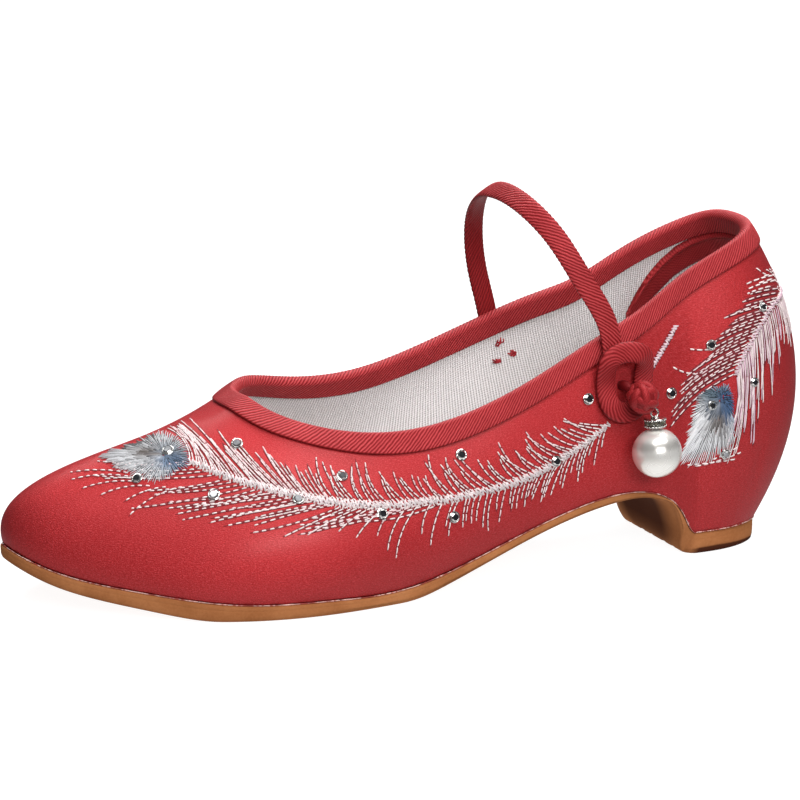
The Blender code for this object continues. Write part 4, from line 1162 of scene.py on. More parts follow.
# ================================================================ embroidery
class NearSatin:
    """The satin that shows in one view, as a table of points, to find what shows at a pixel of it."""

    def __init__(self, first, last, pixels_of, way_out):
        u, v = np.linspace(first, last, 1400)[:, None], np.linspace(0, 1, 170)[None]
        self.points, self.normals = satin_at(u, v)
        self.flat = pixels_of(self.points)
        self.steps = [np.gradient(self.points, axis=k) for k in (0, 1)]
        self.slopes = [np.gradient(self.flat, axis=k) for k in (0, 1)]
        # round the heel, pixels close to the outline are no guide to a place on the satin
        faces = np.sum(self.normals * way_out(self.points), -1) > np.where(self.points[..., 0] < 40, 0.22, 0.0)
        self.spots = np.argwhere(faces)
        self.tree = pixel_tree(self.flat[faces])

    def find(self, pixels, off):
        """Points standing off the satin, outward directions, and which pixels are on it."""
        spots = self.spots[[self.tree.find((p[0], p[1], 0.0))[1] for p in pixels]]
        i, j = spots[:, 0], spots[:, 1]
        miss = pixels - self.flat[i, j]
        by_u, by_v = self.slopes[0][i, j], self.slopes[1][i, j]
        det = by_u[:, 0] * by_v[:, 1] - by_u[:, 1] * by_v[:, 0]
        det = np.where(np.abs(det) < 1e-4, 1e-4, det)
        a = np.clip((miss[:, 0] * by_v[:, 1] - miss[:, 1] * by_v[:, 0]) / det, -1, 1)[:, None]
        b = np.clip((by_u[:, 0] * miss[:, 1] - by_u[:, 1] * miss[:, 0]) / det, -1, 1)[:, None]
        n = self.normals[i, j]
        points = self.points[i, j] + a * self.steps[0][i, j] + b * self.steps[1][i, j] + off * n
        return points, n, np.linalg.norm(miss - a * by_u - b * by_v, axis=1) < 1.2


def back_pixels(points):
    """Pixels of a plain drawing of the heel from behind and outside, at the photo's scale: across, and down from the floor's level."""
    across = -math.sin(BACK_TURN) * points[..., 0] + math.cos(BACK_TURN) * points[..., 1]
    return 3.42 * np.stack([across, -points[..., 2]], -1)


BACK_TURN = math.radians(140)
NEAR_SATIN = NearSatin(-1.4, 13.4, project, lambda points: unit(EYE - points))
BACK_SATIN = NearSatin(-3.0, 4.5, back_pixels, lambda points: np.array([math.cos(BACK_TURN), math.sin(BACK_TURN), 0.0]))
PALE, BLUSH, MAUVE = np.array([0.90, 0.79, 0.78]), np.array([0.88, 0.66, 0.67]), np.array([0.80, 0.58, 0.67])
SILVER_GREY, SLATE, BLUE = np.array([0.74, 0.76, 0.78]), np.array([0.13, 0.16, 0.20]), np.array([0.065, 0.135, 0.27])
UMBER, TEAL = np.array([0.10, 0.080, 0.068]), np.array([0.15, 0.22, 0.27])


def on_satin(pixels, off, satin=NEAR_SATIN):
    """Points on the satin at pixels, standing off it, with outward directions and a mask of those that hit."""
    return satin.find(np.asarray(pixels, float).reshape(-1, 2), off)


def sew(heap, starts, ends, tints, width=0.5, height=0.30, longest=9.0, satin=NEAR_SATIN):
    """Adds one thread for each pair of pixels: a rounded stitch that dips into the cloth at both ends."""
    starts, ends, tints = (np.asarray(a, float) for a in (starts, ends, tints))
    if not len(starts):
        return
    t = np.array([0.0, 0.14, 0.5, 0.86, 1.0])
    pixels = starts[:, None] + t[None, :, None] * (ends - starts)[:, None]
    points, n, hit = on_satin(pixels.reshape(-1, 2), 0.0, satin)
    points, n, hit = points.reshape(-1, 5, 3), n.reshape(-1, 5, 3), hit.reshape(-1, 5).all(1)
    run = np.linalg.norm(points[:, -1] - points[:, 0], axis=1)
    keep = hit & (run < longest) & (run > 0.15)
    points, n, tints = points[keep], n[keep], tints[keep]
    width = np.broadcast_to(width, len(keep))[keep]
    height = np.broadcast_to(height, len(keep))[keep]
    lift = np.array([-0.35, 0.45, 0.62, 0.45, -0.35])
    swell = np.array([0.45, 0.92, 1.0, 0.92, 0.45])
    ahead = unit(points[:, -1] - points[:, 0])
    side = unit(np.cross(n, ahead[:, None]))
    middle = points + (lift[None] * height[:, None])[..., None] * n
    w = np.linspace(0, 2 * math.pi, 6, endpoint=False)
    rings = (middle[:, :, None] + (0.5 * width[:, None] * swell[None])[..., None, None] * np.cos(w)[None, None, :, None] * side[:, :, None]
             + (0.5 * height[:, None] * swell[None])[..., None, None] * np.sin(w)[None, None, :, None] * n[:, :, None])
    count = len(rings)
    one_quads, one_tris = grid_faces(5, 6), np.array(cap(0, 6, back=True) + cap(24, 6))
    base = (np.arange(count) * 30)[:, None, None]
    heap.add(rings.reshape(-1, 3), (one_quads[None] + base).reshape(-1, 4), (one_tris[None] + base).reshape(-1, 3))
    heap.tints.append(np.repeat(tints, 30, 0))


def longest_run(hit):
    """Mask of the longest unbroken run."""
    runs = np.flatnonzero(np.diff(np.concatenate([[0], hit.astype(int), [0]]))).reshape(-1, 2)
    mask = np.zeros(len(hit), bool)
    if len(runs):
        first, end = runs[np.argmax(runs[:, 1] - runs[:, 0])]
        mask[first:end] = True
    return mask


def shaded_groove(heap, line, width=0.62, tint=(0.27, 0.016, 0.022), satin=NEAR_SATIN):
    """Dark sunken line along a run of stitches, where the thread pulls the satin down; its dark colour is partly
    painted shade beside the stitches.
    """
    points, n, hit = on_satin(line, 0.0, satin)
    hit = longest_run(hit)
    points, n = points[hit], n[hit]
    if len(points) < 3:
        return
    ahead = np.gradient(points, axis=0)
    side = unit(np.cross(n, ahead))
    share = np.linspace(0, 1, len(points))
    wide = 0.5 * width * np.minimum(1.0, 6 * np.minimum(share, 1 - share) + 0.25)
    rows = np.stack([points + wide[:, None] * side + 0.005 * n, points + 0.05 * n, points - wide[:, None] * side + 0.005 * n, points - 0.2 * n], 1)
    heap.add(rows, grid_faces(len(points), 4), cap(0, 4, back=True) + cap((len(points) - 1) * 4, 4),
             np.array(tint))


def curve_from(base, first, last, length, count=24):
    """Line of pixels from a base, turning evenly from one direction to another (degrees, anticlockwise from the right)."""
    turn = np.radians(np.linspace(first, last, count))
    step = length / (count - 1)
    dx, dy = np.cos(turn) * step, -np.sin(turn) * step
    return np.stack([base[0] + np.concatenate([[0], np.cumsum(dx[1:])]), base[1] + np.concatenate([[0], np.cumsum(dy[1:])])], -1)


def run_of_stitches(heap, line, tint, stitch, gap, width, height, start=0.0, shake=0.12, satin=NEAR_SATIN):
    """Running stitches along a line of pixels."""
    steps = np.concatenate([[0], np.cumsum(np.linalg.norm(np.diff(line, axis=0), axis=1))])
    at, starts, ends, tints = start, [], [], []
    while at + 0.4 * stitch < steps[-1]:
        long = stitch * (1 + shake * rng.uniform(-1.5, 1.5))
        stop = min(at + long, steps[-1])
        a = [np.interp(at, steps, line[:, k]) for k in (0, 1)]
        b = [np.interp(stop, steps, line[:, k]) for k in (0, 1)]
        starts.append(a)
        ends.append(b)
        tints.append(tint * rng.uniform(0.86, 1.06))
        at = stop + gap * (1 + shake * rng.uniform(-1.5, 1.5))
    if starts:
        sew(heap, starts, ends, np.clip(tints, 0, 0.95), width, height, 16.0, satin)


def zigzag(heap, line, tint, reach, pitch, width, height, lean=0.0, satin=NEAR_SATIN):
    """Dense zigzag of stitches across a line: the quill of a feather."""
    steps = np.concatenate([[0], np.cumsum(np.linalg.norm(np.diff(line, axis=0), axis=1))])
    at = np.arange(0, steps[-1], pitch)
    middle = np.stack([np.interp(at, steps, line[:, k]) for k in (0, 1)], -1)
    ahead = unit(np.gradient(middle, axis=0))
    over = np.stack([-ahead[:, 1], ahead[:, 0]], -1)
    half = np.interp(at / steps[-1], np.linspace(0, 1, len(reach)), reach) * 0.5
    wobble = rng.uniform(0.75, 1.2, (2, len(at)))
    slant = np.where(np.arange(len(at)) % 2 == 0, 0.55, -0.25) * half + lean
    a = middle + (half * wobble[0])[:, None] * over + slant[:, None] * ahead
    b = middle - (half * wobble[1])[:, None] * over - slant[:, None] * ahead
    tints = tint[None] * rng.uniform(0.72, 1.08, (len(at), 1))
    sew(heap, a, b, np.clip(tints, 0, 0.95), width, height, satin=satin)


FRONT_QUILL = np.array([(190, 461), (202, 466), (231, 478), (261, 486.5), (292, 494.5), (322, 500.5), (353, 504), (384, 505.5),
                        (420, 502.5), (446, 499.5), (492, 489.5), (522, 480), (545, 469), (568, 454.5), (591, 438.5), (609, 423)], float)
# barbs along the front quill: where they leave it (px), their first and last direction (degrees), their length (px)
BARB_COLUMNS = ("base_x", "first", "last", "length")
FRONT_UPPER = np.array([
    (190, 84, 165, 62), (200, 96, 158, 66), (214, 112, 146, 74), (240, 128, 136, 80), (268, 137, 131, 78), (296, 138, 124, 66), (318, 134, 112, 50),
    (345, 142, 110, 52), (372, 142, 104, 46), (400, 146, 114, 52), (430, 150, 120, 50), (460, 148, 116, 46), (490, 152, 122, 46),
    (522, 154, 124, 48), (550, 160, 138, 44), (578, 170, 156, 40), (606, 176, 170, 42)], float)
FRONT_LOWER = np.array([
    (198, 186, 172, 118), (220, 190, 178, 122), (246, 192, 184, 116), (276, 194, 188, 112), (306, 192, 186, 114), (332, 194, 189, 112),
    (356, 197, 200, 92), (380, 206, 234, 70), (406, 222, 262, 60), (434, 236, 264, 54), (464, 246, 268, 48), (496, 250, 270, 40),
    (526, 248, 264, 34), (552, 238, 254, 38), (580, 236, 260, 44), (606, 246, 268, 40)], float)


def barb_row(table, x):
    return [np.interp(x, table[:, 0], table[:, k]) for k in (1, 2, 3)]


def front_feather():
    threads, lines = Heap(), Heap()
    quill = smooth_path(FRONT_QUILL, 260)
    for table, gap_px, upper in ((FRONT_UPPER, 5.4, True), (FRONT_LOWER, 5.6, False)):
        at = 0.0
        steps = np.concatenate([[0], np.cumsum(np.linalg.norm(np.diff(quill, axis=0), axis=1))])
        count = 0
        while at < steps[-1]:
            base = np.array([np.interp(at, steps, quill[:, k]) for k in (0, 1)])
            first, last, length = barb_row(table, base[0])
            flat = not upper and 345 <= base[0] < 455 and count % 2 == 0   # every other one lies along the loose rows
            if flat:
                first, last, length = 205.0, 185.0, 92.0
            length = length * rng.uniform(0.60, 1.12)
            hook = rng.uniform(-10, 26) if upper and base[0] > 330 else rng.uniform(-7, 7)
            line = curve_from(base, first + rng.uniform(-7, 7), last + (hook if not upper else -hook), length)
            shaded_groove(lines, line, 0.78, (0.23, 0.014, 0.020))
            tint = PALE if rng.random() < 0.7 else BLUSH
            solid = upper and base[0] < 330
            loose = flat or (not upper and base[0] < 345)
            run_of_stitches(threads, line, tint, 9.0 if solid else 5.2 if loose else 7.0, -0.3 if solid else 3.0 if loose else 0.5,
                            0.41 if not loose else 0.45, 0.30, start=rng.uniform(0, 4))
            at += gap_px * rng.uniform(0.8, 1.25) * (0.66 if solid else 1.0 if not loose or flat else 1.5 if base[0] < 262 else 1.05)
            count += 1
    # a few barbs that leave the eye towards the toe
    for base, first, last, length in (((128, 473), 168, 190, 58), ((136, 478), 166, 196, 66), ((140, 482), 172, 200, 60), ((150, 486), 174, 206, 52),
                                      ((166, 487), 184, 214, 46), ((182, 487), 190, 226, 62)):
        line = curve_from(base, first, last, length)
        shaded_groove(lines, line)
        run_of_stitches(threads, line, PALE, 4.6, 3.0, 0.46, 0.30)
    zigzag(threads, quill, PALE, (7.5, 9.0, 10.0, 10.0, 9.5, 8.5, 6.5), 1.8, 0.42, 0.45)
    zigzag(threads, quill, PALE * (0.94, 0.97, 1.0), (5.0, 6.0, 7.0, 7.0, 6.5, 6.0, 4.5), 2.6, 0.40, 0.75, 1.4)
    bar = smooth_path(np.array([(647, 376), (655, 362), (665, 345), (676, 326)], float), 60)
    shaded_groove(lines, bar, 1.9)
    zigzag(threads, bar, MAUVE, (5.4, 5.4, 5.0), 1.7, 0.5, 0.45)
    zigzag(threads, bar, PALE, (3.6, 3.6), 2.6, 0.5, 0.62)
    return threads, lines


def fan(heap, outline, heart, tint_at, rings, pitch, width, height, lean=(0.0, 0.0), shade=1.0):
    """Satin stitches that spread from a heart to an outline of pixels, in overlapping rings."""
    edge = smooth_path(np.asarray(outline, float), 900, closed=True)
    run = np.concatenate([[0], np.cumsum(np.linalg.norm(np.diff(edge, axis=0), axis=1))])
    for inner_share, outer_share in rings:
        at = 0.0
        starts, ends, tints = [], [], []
        while at < run[-1]:
            tip = np.array([np.interp(at, run, edge[:, k]) for k in (0, 1)])
            a, b = inner_share + rng.uniform(-0.08, 0.08), outer_share + rng.uniform(-0.10, 0.05)
            start, end = heart + (tip - heart) * max(a, 0.02), heart + (tip - heart) * b
            starts.append(start)
            ends.append(end + np.array(lean) * (b - a))
            tints.append(shade * tint_at(0.5 * (start + end)) * rng.uniform(0.72, 1.15))
            at += pitch / max(outer_share, 0.35) * rng.uniform(0.75, 1.25)
        sew(heap, starts, ends, np.clip(tints, 0, 0.93), width, height, 14.0)


FRONT_EYE = [(99, 457), (112, 447.5), (129, 440), (146, 433), (161, 430.5), (175, 433), (184, 440), (189, 449), (191, 459), (189.5, 466),
             (178, 472), (167, 479), (152, 482.5), (140, 479), (129, 474), (119, 469), (109, 463.5), (104, 460)]
HEEL_EYE = [(729, 381.5), (720, 383.5), (709, 386.5), (699, 393.5), (694, 405), (690.5, 422), (687, 440), (681, 455), (676, 465.5), (691, 464),
            (707, 462.5), (719, 458), (730, 453), (735.5, 441), (736, 427), (736, 411), (734.5, 393)]


def near(p, middle, reach):
    return math.exp(-((p[0] - middle[0]) / reach[0])**2 - ((p[1] - middle[1]) / reach[1])**2)


def front_eye_tint(p):
    tint = SILVER_GREY * 0.72
    tint = tint + min(1.0, 1.3 * near(p, (173, 461), (15, 10))) * (np.array([0.15, 0.23, 0.35]) - tint)
    tint = tint + min(0.9, 1.1 * near(p, (147, 453), (13, 5))) * (UMBER * 1.3 - tint)
    tint = tint + 0.9 * near(p, (167, 451), (11, 8)) * (SLATE - tint)
    return tint


def heel_eye_tint(p):
    tint = SILVER_GREY
    tint = tint + min(1.0, 1.3 * near(p, (714, 393), (15, 9))) * (TEAL - tint)
    tint = tint + min(1.0, 1.6 * near(p, (727, 403), (9, 18))) * (BLUE - tint)
    tint = tint + min(1.0, 1.2 * near(p, (713, 407), (9, 9))) * (SLATE - tint)
    tint = tint + min(1.0, 0.9 * near(p, (719, 425), (11, 9))) * (UMBER * 1.5 - tint)
    return tint


HEEL_QUILL = np.array([(783, 288), (779.5, 297), (772, 306), (763.5, 320), (754.5, 335), (747, 349.5), (740, 362), (735.5, 376)], float)
HEEL_LEFT = np.array([   # base y, first, last, length
    (288, 184, 196, 34), (300, 188, 200, 46), (312, 192, 208, 54), (324, 198, 212, 62), (336, 200, 218, 72), (348, 200, 224, 82), (360, 200, 230, 88),
    (372, 202, 236, 82)], float)
HEEL_RIGHT = np.array([
    (288, 298, 276, 30), (300, 290, 272, 48), (312, 283, 270, 64), (324, 279, 268, 72), (336, 277, 266, 92), (348, 276, 264, 106), (360, 278, 257, 106),
    (374, 282, 244, 98)], float)


# the tip of the heel feather, past the photo's outline, in pixels of the drawing from behind
BACK_QUILL = np.array([(-80, -256.5), (-66, -260), (-52, -262.2), (-39, -261), (-28, -256), (-20, -248)], float)
TIP_ROWS = ((-66, (778, 285)), (-56, (775, 280.5)), (-47, (772, 275.5)))   # where a row leaves the quill, and the photo's pixel it runs to


def feather_tip(threads, lines):
    quill = smooth_path(BACK_QUILL, 120)
    for base_x, pixel in TIP_ROWS:
        start = back_pixels(on_satin(pixel, 0.0)[0])[0]
        base = np.array([base_x, np.interp(base_x, quill[:, 0], quill[:, 1])])
        line = smooth_path(np.array([base, 0.5 * (base + start) + [-3, -5], start]), 24)
        shaded_groove(lines, line, 0.9, satin=BACK_SATIN)
        run_of_stitches(threads, line, PALE, 5.2, 2.0, 0.46, 0.32, satin=BACK_SATIN)
    for k in range(9):   # rows of the hidden side, shorter towards the tip
        base_x = -50 + 3.3 * k
        base = np.array([base_x, np.interp(base_x, quill[:, 0], quill[:, 1])])
        line = curve_from(base, 128 - 5 * k + rng.uniform(-4, 4), 164 - 7 * k + rng.uniform(-6, 6), (40 - 2.6 * k) * rng.uniform(0.8, 1.1))
        shaded_groove(lines, line, 0.9, satin=BACK_SATIN)
        run_of_stitches(threads, line, PALE if rng.random() < 0.6 else BLUSH, 5.6, 1.9, 0.40, 0.30, start=rng.uniform(0, 5), satin=BACK_SATIN)
    for k in range(29):   # hair that hangs from the quill
        base_x = -84 + 2.25 * k + rng.uniform(-0.7, 0.7)
        base = np.array([base_x, np.interp(base_x, quill[:, 0], quill[:, 1])])
        length = np.interp(base_x, (-84, -60, -22), (50, 42, 17)) * rng.uniform(0.55, 1.1)
        line = curve_from(base + [0, 1], 286 + rng.uniform(-5, 6), 270 + rng.uniform(-5, 8), length)
        shaded_groove(lines, line, 1.1, (0.19, 0.012, 0.020), BACK_SATIN)
        tint = (MAUVE if rng.random() < 0.3 else PALE) * rng.uniform(0.8, 1.0)
        run_of_stitches(threads, line, tint, 22.0, -3.0, 0.31, 0.32, start=rng.uniform(0, 2), satin=BACK_SATIN)
    for k in range(6):   # shorter hair between
        base = np.array([rng.uniform(-80, -46), rng.uniform(-254, -236)])
        line = curve_from(base, 282 + rng.uniform(-6, 6), 270 + rng.uniform(-6, 6), rng.uniform(10, 20))
        run_of_stitches(threads, line, PALE, 22.0, -3.0, 0.32, 0.32, satin=BACK_SATIN)
    zigzag(threads, quill, PALE, (6.0, 6.0, 5.0, 3.0), 1.9, 0.42, 0.45, satin=BACK_SATIN)
    zigzag(threads, quill, MAUVE, (3.8, 3.8, 2.6), 3.0, 0.40, 0.70, 1.2, BACK_SATIN)


def heel_feather():
    threads, lines = Heap(), Heap()
    quill = smooth_path(HEEL_QUILL, 160)
    steps = np.concatenate([[0], np.cumsum(np.linalg.norm(np.diff(quill, axis=0), axis=1))])
    at = 0.0
    while at < steps[-1]:
        base = np.array([np.interp(at, steps, quill[:, k]) for k in (0, 1)])
        first, last, length = [np.interp(base[1], HEEL_LEFT[:, 0], HEEL_LEFT[:, k]) for k in (1, 2, 3)]
        line = curve_from(base, first + rng.uniform(-3, 3), last + rng.uniform(-6, 6), length * rng.uniform(0.72, 1.08))
        # wider, darker strips here: painted shade between the heel feather's left barbs
        shaded_groove(lines, line, 1.15, (0.19, 0.012, 0.020))
        run_of_stitches(threads, line, PALE if rng.random() < 0.6 else BLUSH, 6.0, 1.9, 0.36, 0.30, start=rng.uniform(0, 7), shake=0.25)
        at += 4.6 * rng.uniform(0.85, 1.2)
    at = 0.0
    while at < steps[-1]:
        base = np.array([np.interp(at, steps, quill[:, k]) for k in (0, 1)])
        first, last, length = [np.interp(base[1], HEEL_RIGHT[:, 0], HEEL_RIGHT[:, k]) for k in (1, 2, 3)]
        line = curve_from(base + [1.0, 0], first + rng.uniform(-3, 5), last + rng.uniform(-4, 4), length * rng.uniform(0.55, 1.08))
        shaded_groove(lines, line, 0.8, (0.19, 0.012, 0.020))
        tint = MAUVE if rng.random() < 0.45 else PALE
        run_of_stitches(threads, line, tint, 22.0, -3.0, 0.33, 0.32, start=rng.uniform(0, 2))
        at += 1.9 * rng.uniform(0.8, 1.25)
    feather_tip(threads, lines)
    for base, first, last, length in (((756, 268), 320, 330, 14), ((772, 275.5), 190, 206, 27), ((775, 280.5), 189, 206, 30), ((778, 285), 187, 204, 32), ((764, 276), 10, 20, 10), ((759, 283), 20, 10, 22), ((673, 367), 325, 360, 24), ((690, 349), 350, 370, 24),
                                      ((735, 459), 190, 184, 52), ((741, 452), 205, 190, 48), ((737, 447), 215, 198, 30)):
        line = curve_from(base, first, last, length)
        shaded_groove(lines, line)
        run_of_stitches(threads, line, PALE, 5.2, 2.0, 0.5, 0.32)
    zigzag(threads, quill, PALE, (6.0, 6.5, 6.0, 5.0), 1.9, 0.42, 0.45)
    zigzag(threads, quill, MAUVE, (3.5, 4.0, 4.0), 3.0, 0.40, 0.70, 1.2)
    return threads, lines


def make_embroidery():
    for name, maker in (("front_feather", front_feather), ("heel_feather", heel_feather)):
        threads, lines = maker()
        threads.make(name, THREAD)
        lines.make(name + "_pull", RED_THREAD)
    eyes = Heap()
    for outline, heart, tint_at, lean in ((FRONT_EYE, np.array([164.0, 455.0]), front_eye_tint, (-2, 1)), (HEEL_EYE, np.array([720.0, 400.0]), heel_eye_tint, (-4, 5))):
        # painted shade: the first set of stitches repeats the eye's colours at a quarter of their brightness, lower
        # than the others, showing as dark gaps between their strands
        fan(eyes, outline, heart, tint_at, ((0.0, 0.40), (0.28, 0.66), (0.52, 0.88)), 2.0, 0.55, 0.26, lean, 0.24)
        fan(eyes, outline, heart, tint_at, ((0.02, 0.36), (0.24, 0.58)), 1.8, 0.26, 0.44, lean, 1.05)
        fan(eyes, outline, heart, tint_at, ((0.42, 0.78), (0.60, 1.02)), 2.3, 0.27, 0.46, lean, 1.15)
    eyes.make("feather_eyes", THREAD)


# ================================================================ stones
CLEAR_STONES = (168, 214, 237, 298, 725)   # those that look clear, by pixel column
STONES = (  # pixel of the middle, size (px)
    (237, 444, 11.5), (214, 495, 12.0), (137, 479, 10.5), (298, 499, 11.5), (342, 476, 11.0), (382, 514, 11.5), (461, 455, 11.5),
    (454, 517, 11.5), (556, 461, 11.0), (588, 399, 11.5), (671, 393, 11.5), (711, 345, 11.0), (762, 307, 10.0), (754, 382, 9.5),
    (725, 454, 10.0), (168, 451, 12.0), (712, 405, 9.5))


def make_stones():
    faces, rims, clear = Heap(), Heap(), Heap()
    for x, y, size in STONES:
        points, n, hit = on_satin(np.array([[x, y]]), 0.12)
        middle, n = points[0], n[0]
        r = 0.5 * size / 3.42
        # set: a thin silver cup
        cup = turned(middle, n, [(-0.15, 0.2 * r), (-0.15, 1.0 * r), (0.12, 1.06 * r), (0.34, 1.02 * r), (0.42, 0.90 * r), (0.30, 0.80 * r), (0.10, 0.2 * r)], 28)
        rims.add(cup, grid_faces(7, 28, closed=True))
        crown = turned(middle, n, [(0.28, 0.90 * r), (0.58, 0.80 * r), (0.86, 0.60 * r), (0.90, 0.57 * r)], 8)
        rims_side = crown[:3]
        rims.add(rims_side, flip(grid_faces(3, 8)), cap(0, 8) + cap(16, 8, back=True))
        (clear if x in CLEAR_STONES else faces).add(crown[2:], flip(grid_faces(2, 8)), cap(8, 8, back=True) + cap(0, 8))
    thing = rims.make("stone_cups", STONE_RIM, smooth=False)
    thing = faces.make("stone_tables", STONE_FACE, smooth=False)
    thing = clear.make("clear_stone_tables", STONE_CLEAR, smooth=False)


# ================================================================ inside: heel patch and anchor stitches
HEEL_PATCH_TOP = ((626, 313), (636, 292.5), (646.5, 275.5), (660.5, 259), (675, 246.5), (689, 238.5), (704, 233.5), (719, 231))
HEEL_PATCH_LOW = ((640, 312), (650, 301), (659, 291.5), (674, 276), (687, 267.5), (698, 261.5), (714, 254))


def make_heel_patch():
    """Twill patch inside the heel, with a rolled upper edge; the unseen half is the same on the other side."""
    far_wall = Wall(WALL, True, 18.0, 24.6, 0.3, 1.0)
    top_u, top_v, _ = far_wall.find(np.array(HEEL_PATCH_TOP))
    low_u, low_v, _ = far_wall.find(np.array(HEEL_PATCH_LOW))
    first = min(top_u.min(), low_u.min())
    reach = 24.0 - first
    order, under = np.argsort(top_u), np.argsort(low_u)
    one_side = np.linspace(0, reach, 330)
    from_back = 24.0 - one_side
    v_top = np.interp(from_back, top_u[order], top_v[order])
    v_low = np.minimum(np.interp(from_back, low_u[under], low_v[under]), v_top - 0.04)
    u = np.concatenate([-one_side[::-1], one_side[1:]])
    v_top, v_low = np.concatenate([v_top[::-1], v_top[1:]]), np.concatenate([v_low[::-1], v_low[1:]])
    share = np.linspace(0, 1, 22)
    v = v_low[:, None] + (v_top - v_low)[:, None] * share[None]
    uu = np.broadcast_to(u[:, None], v.shape)
    roll = 1.1 * np.exp(-((share - 0.86) / 0.10)**2) + 0.45 * np.minimum(1, 10 * share) * np.minimum(1, 30 * (1 - share))
    face = shell(uu, v, WALL + 0.02 + np.broadcast_to(roll[None], v.shape))
    run = np.concatenate([[0], np.cumsum(np.linalg.norm(np.diff(face[:, 10], axis=0), axis=1))])
    across = np.concatenate([np.zeros((len(u), 1)), np.cumsum(np.linalg.norm(np.diff(face, axis=1), axis=2), 1)], 1)
    height = ribs(np.broadcast_to(run[:, None], across.shape), -across)
    face = face - (0.10 * (height - 0.6))[..., None] * outward(uu, v)
    back = shell(uu[:, ::-7], v[:, ::-7], WALL - 0.1)
    rows = np.concatenate([face, back], 1)
    size = rows.shape[1]
    rib = np.concatenate([height, np.zeros((len(u), back.shape[1]))], 1)
    uv = np.stack([np.broadcast_to(run[:, None], (len(u), size)), np.concatenate([across, across[:, ::-7]], 1)], -1)
    tris = cap(0, size) + cap((len(u) - 1) * size, size, back=True)
    # painted shade: the patch takes the darker copy of the twill, for the shade inside the heel
    thing = mesh_object("heel_patch", rows.reshape(-1, 3), flip(grid_faces(len(u), size)), tris, TWILL_DARK, uv=uv.reshape(-1, 2), value={"rib": rib.ravel()})


ANCHOR_TANGLES = (  # middle (px), reach along and across (px), turn (degrees), stitches
    (499, 342, 7.0, 2.4, 34, 9), (513, 352.5, 7.0, 2.8, 26, 11), (497, 362.5, 4.6, 3.0, -8, 9))


def make_anchor_stitches():
    """Red thread that holds the strap, showing on the lining of the inner side."""
    wall = Wall(WALL, True, 14.0, 22.0, 0.2, 1.0)
    heap = Heap()
    for x, y, along_px, across_px, turn, count in ANCHOR_TANGLES:
        way = np.array([math.cos(math.radians(turn)), -math.sin(math.radians(turn))])
        for _ in range(count):
            middle = np.array([x, y]) + rng.uniform(-0.6, 0.6) * along_px * way + rng.uniform(-0.8, 0.8) * across_px * np.array([-way[1], way[0]])
            lean = math.radians(turn + rng.uniform(-48, 48))
            reach = 0.5 * rng.uniform(3.4, 6.6)
            share = np.linspace(0, 1, 7)
            bow = rng.uniform(-1.0, 1.0) * np.sin(math.pi * share)
            line = middle + (2 * share - 1)[:, None] * reach * np.array([math.cos(lean), -math.sin(lean)]) + bow[:, None] * np.array([math.sin(lean), math.cos(lean)])
            u, v, miss = wall.find(line)
            lift = 0.36 * np.sin(math.pi * share) - 0.05
            points, quads, tris = tube(shell(u, v, WALL + lift), 0.24 * (0.6 + 0.4 * np.sin(math.pi * share)), 8)
            heap.add(points, quads, tris, np.array([0.40, 0.016, 0.024]) * rng.uniform(0.55, 1.2))
    thing = heap.make("anchor_stitches", RED_THREAD)


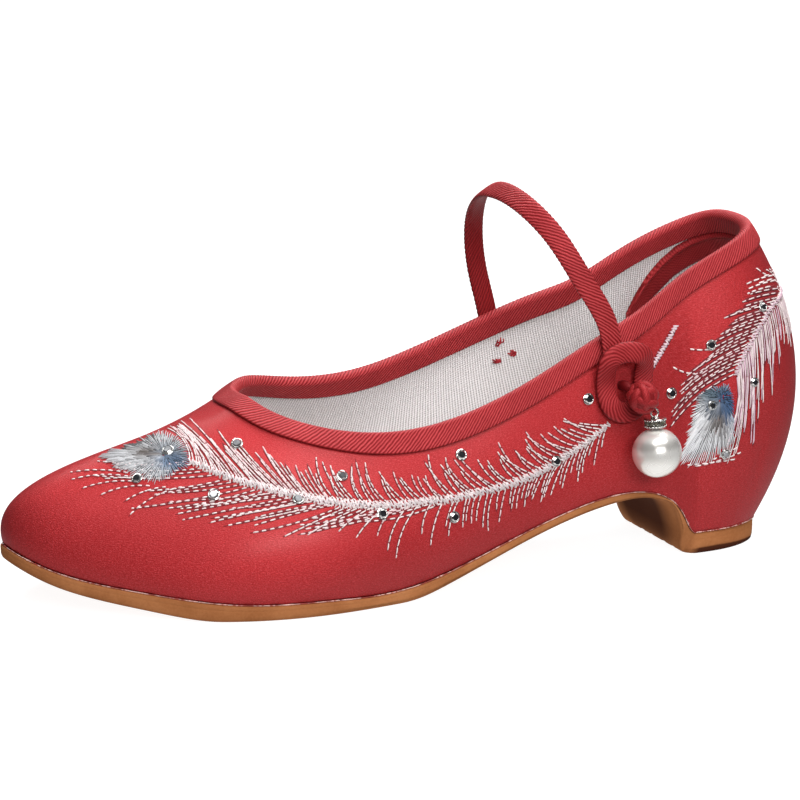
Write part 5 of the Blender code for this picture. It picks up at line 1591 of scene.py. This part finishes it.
# ================================================================ floor and light
def make_stage():
    mesh = bpy.data.meshes.new("floor")
    size = 6.0
    mesh.from_pydata([(-size, -size, 0), (size, -size, 0), (size, size, 0), (-size, size, 0)], [], [(0, 1, 2, 3)])
    floor = bpy.data.objects.new("floor", mesh)
    floor.location = (0, 0, -0.0002)
    bpy.context.scene.collection.objects.link(floor)
    material, tree, shader = nodes_of("floor")
    shader.inputs["Base Color"].default_value = (0.25, 0.25, 0.25, 1.0)
    shader.inputs["Roughness"].default_value = 0.9
    shader.inputs["Specular IOR Level"].default_value = 0.0
    shader.inputs["Emission Color"].default_value = (1.0, 1.0, 1.0, 1.0)
    shader.inputs["Emission Strength"].default_value = 0.93
    mesh.materials.append(material)
    floor.visible_diffuse = False
    floor.visible_glossy = False

    # a plain wall far behind, which only the camera sees
    ring = [(5.8 * math.cos(a), 5.8 * math.sin(a), z) for z in (-0.1, 9.0) for a in np.linspace(0, 2 * math.pi, 48, endpoint=False)]
    mesh = bpy.data.meshes.new("backdrop")
    mesh.from_pydata(ring, [], [(k, (k + 1) % 48, 48 + (k + 1) % 48, 48 + k) for k in range(48)])
    wall = bpy.data.objects.new("backdrop", mesh)
    bpy.context.scene.collection.objects.link(wall)
    material, tree, shader = nodes_of("backdrop")
    shader.inputs["Base Color"].default_value = (0.0, 0.0, 0.0, 1.0)
    shader.inputs["Specular IOR Level"].default_value = 0.0
    shader.inputs["Emission Color"].default_value = (1.0, 1.0, 1.0, 1.0)
    shader.inputs["Emission Strength"].default_value = 1.0
    mesh.materials.append(material)
    wall.visible_diffuse = wall.visible_glossy = wall.visible_shadow = wall.visible_transmission = wall.visible_volume_scatter = False

    world = bpy.data.worlds.new("studio")
    world.use_nodes = True
    tree = world.node_tree
    way = add(tree, "ShaderNodeTexCoord")
    parts = add(tree, "ShaderNodeSeparateXYZ")
    link(tree, way.outputs["Generated"], parts.inputs["Vector"])
    height = add_values(tree, add_values(tree, parts.outputs["Z"], 0.5, "MULTIPLY"), 0.5)
    sky = ramp(tree, height, [(0.0, (1.15, 1.15, 1.15)), (0.117, (1.05, 1.05, 1.05)), (0.25, (0.62, 0.62, 0.62)), (0.37, (0.25, 0.25, 0.25)),
                              (0.46, (0.09, 0.09, 0.095)), (0.56, (0.09, 0.09, 0.095)), (1.0, (0.34, 0.35, 0.36))])
    link(tree, sky, tree.nodes["Background"].inputs["Color"])
    tree.nodes["Background"].inputs["Strength"].default_value = 1.0
    bpy.context.scene.world = world

    def softbox(name, right, up, back, wide, tall, power):
        """Area light placed from the shoe's middle along the camera's own directions, facing the shoe."""
        data = bpy.data.lights.new(name, "AREA")
        data.shape, data.size, data.size_y, data.energy = "RECTANGLE", wide, tall, power
        light = bpy.data.objects.new(name, data)
        aim = Vector((0, 0, 0.04))
        spot = aim + Vector(CAM_RIGHT) * right + Vector((0, 0, 1)) * up + Vector(CAM_BACK) * back
        light.location = spot
        light.rotation_mode = "QUATERNION"
        light.rotation_quaternion = (aim - spot).to_track_quat("-Z", "Y")
        bpy.context.scene.collection.objects.link(light)

    softbox("key", 0.30, 1.20, 0.60, 1.6, 0.55, 17.5)
    softbox("top", 0.0, 1.15, -0.60, 1.3, 0.6, 13.0)
    softbox("front", 0.40, 0.30, 1.25, 0.9, 0.34, 11.0)
    bpy.context.scene.view_settings.view_transform = "Standard"
    bpy.context.scene.view_settings.look = "None"


make_upper()
make_lining()
make_footbed()
make_binding()
make_strap()
make_loop()
make_knot()
make_pendant()
make_sole()
make_glue_line()
make_embroidery()
make_stones()
make_heel_patch()
make_anchor_stitches()
make_stage()

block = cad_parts["heel"]
block.data.materials.clear()
block.data.materials.append(wood_material())
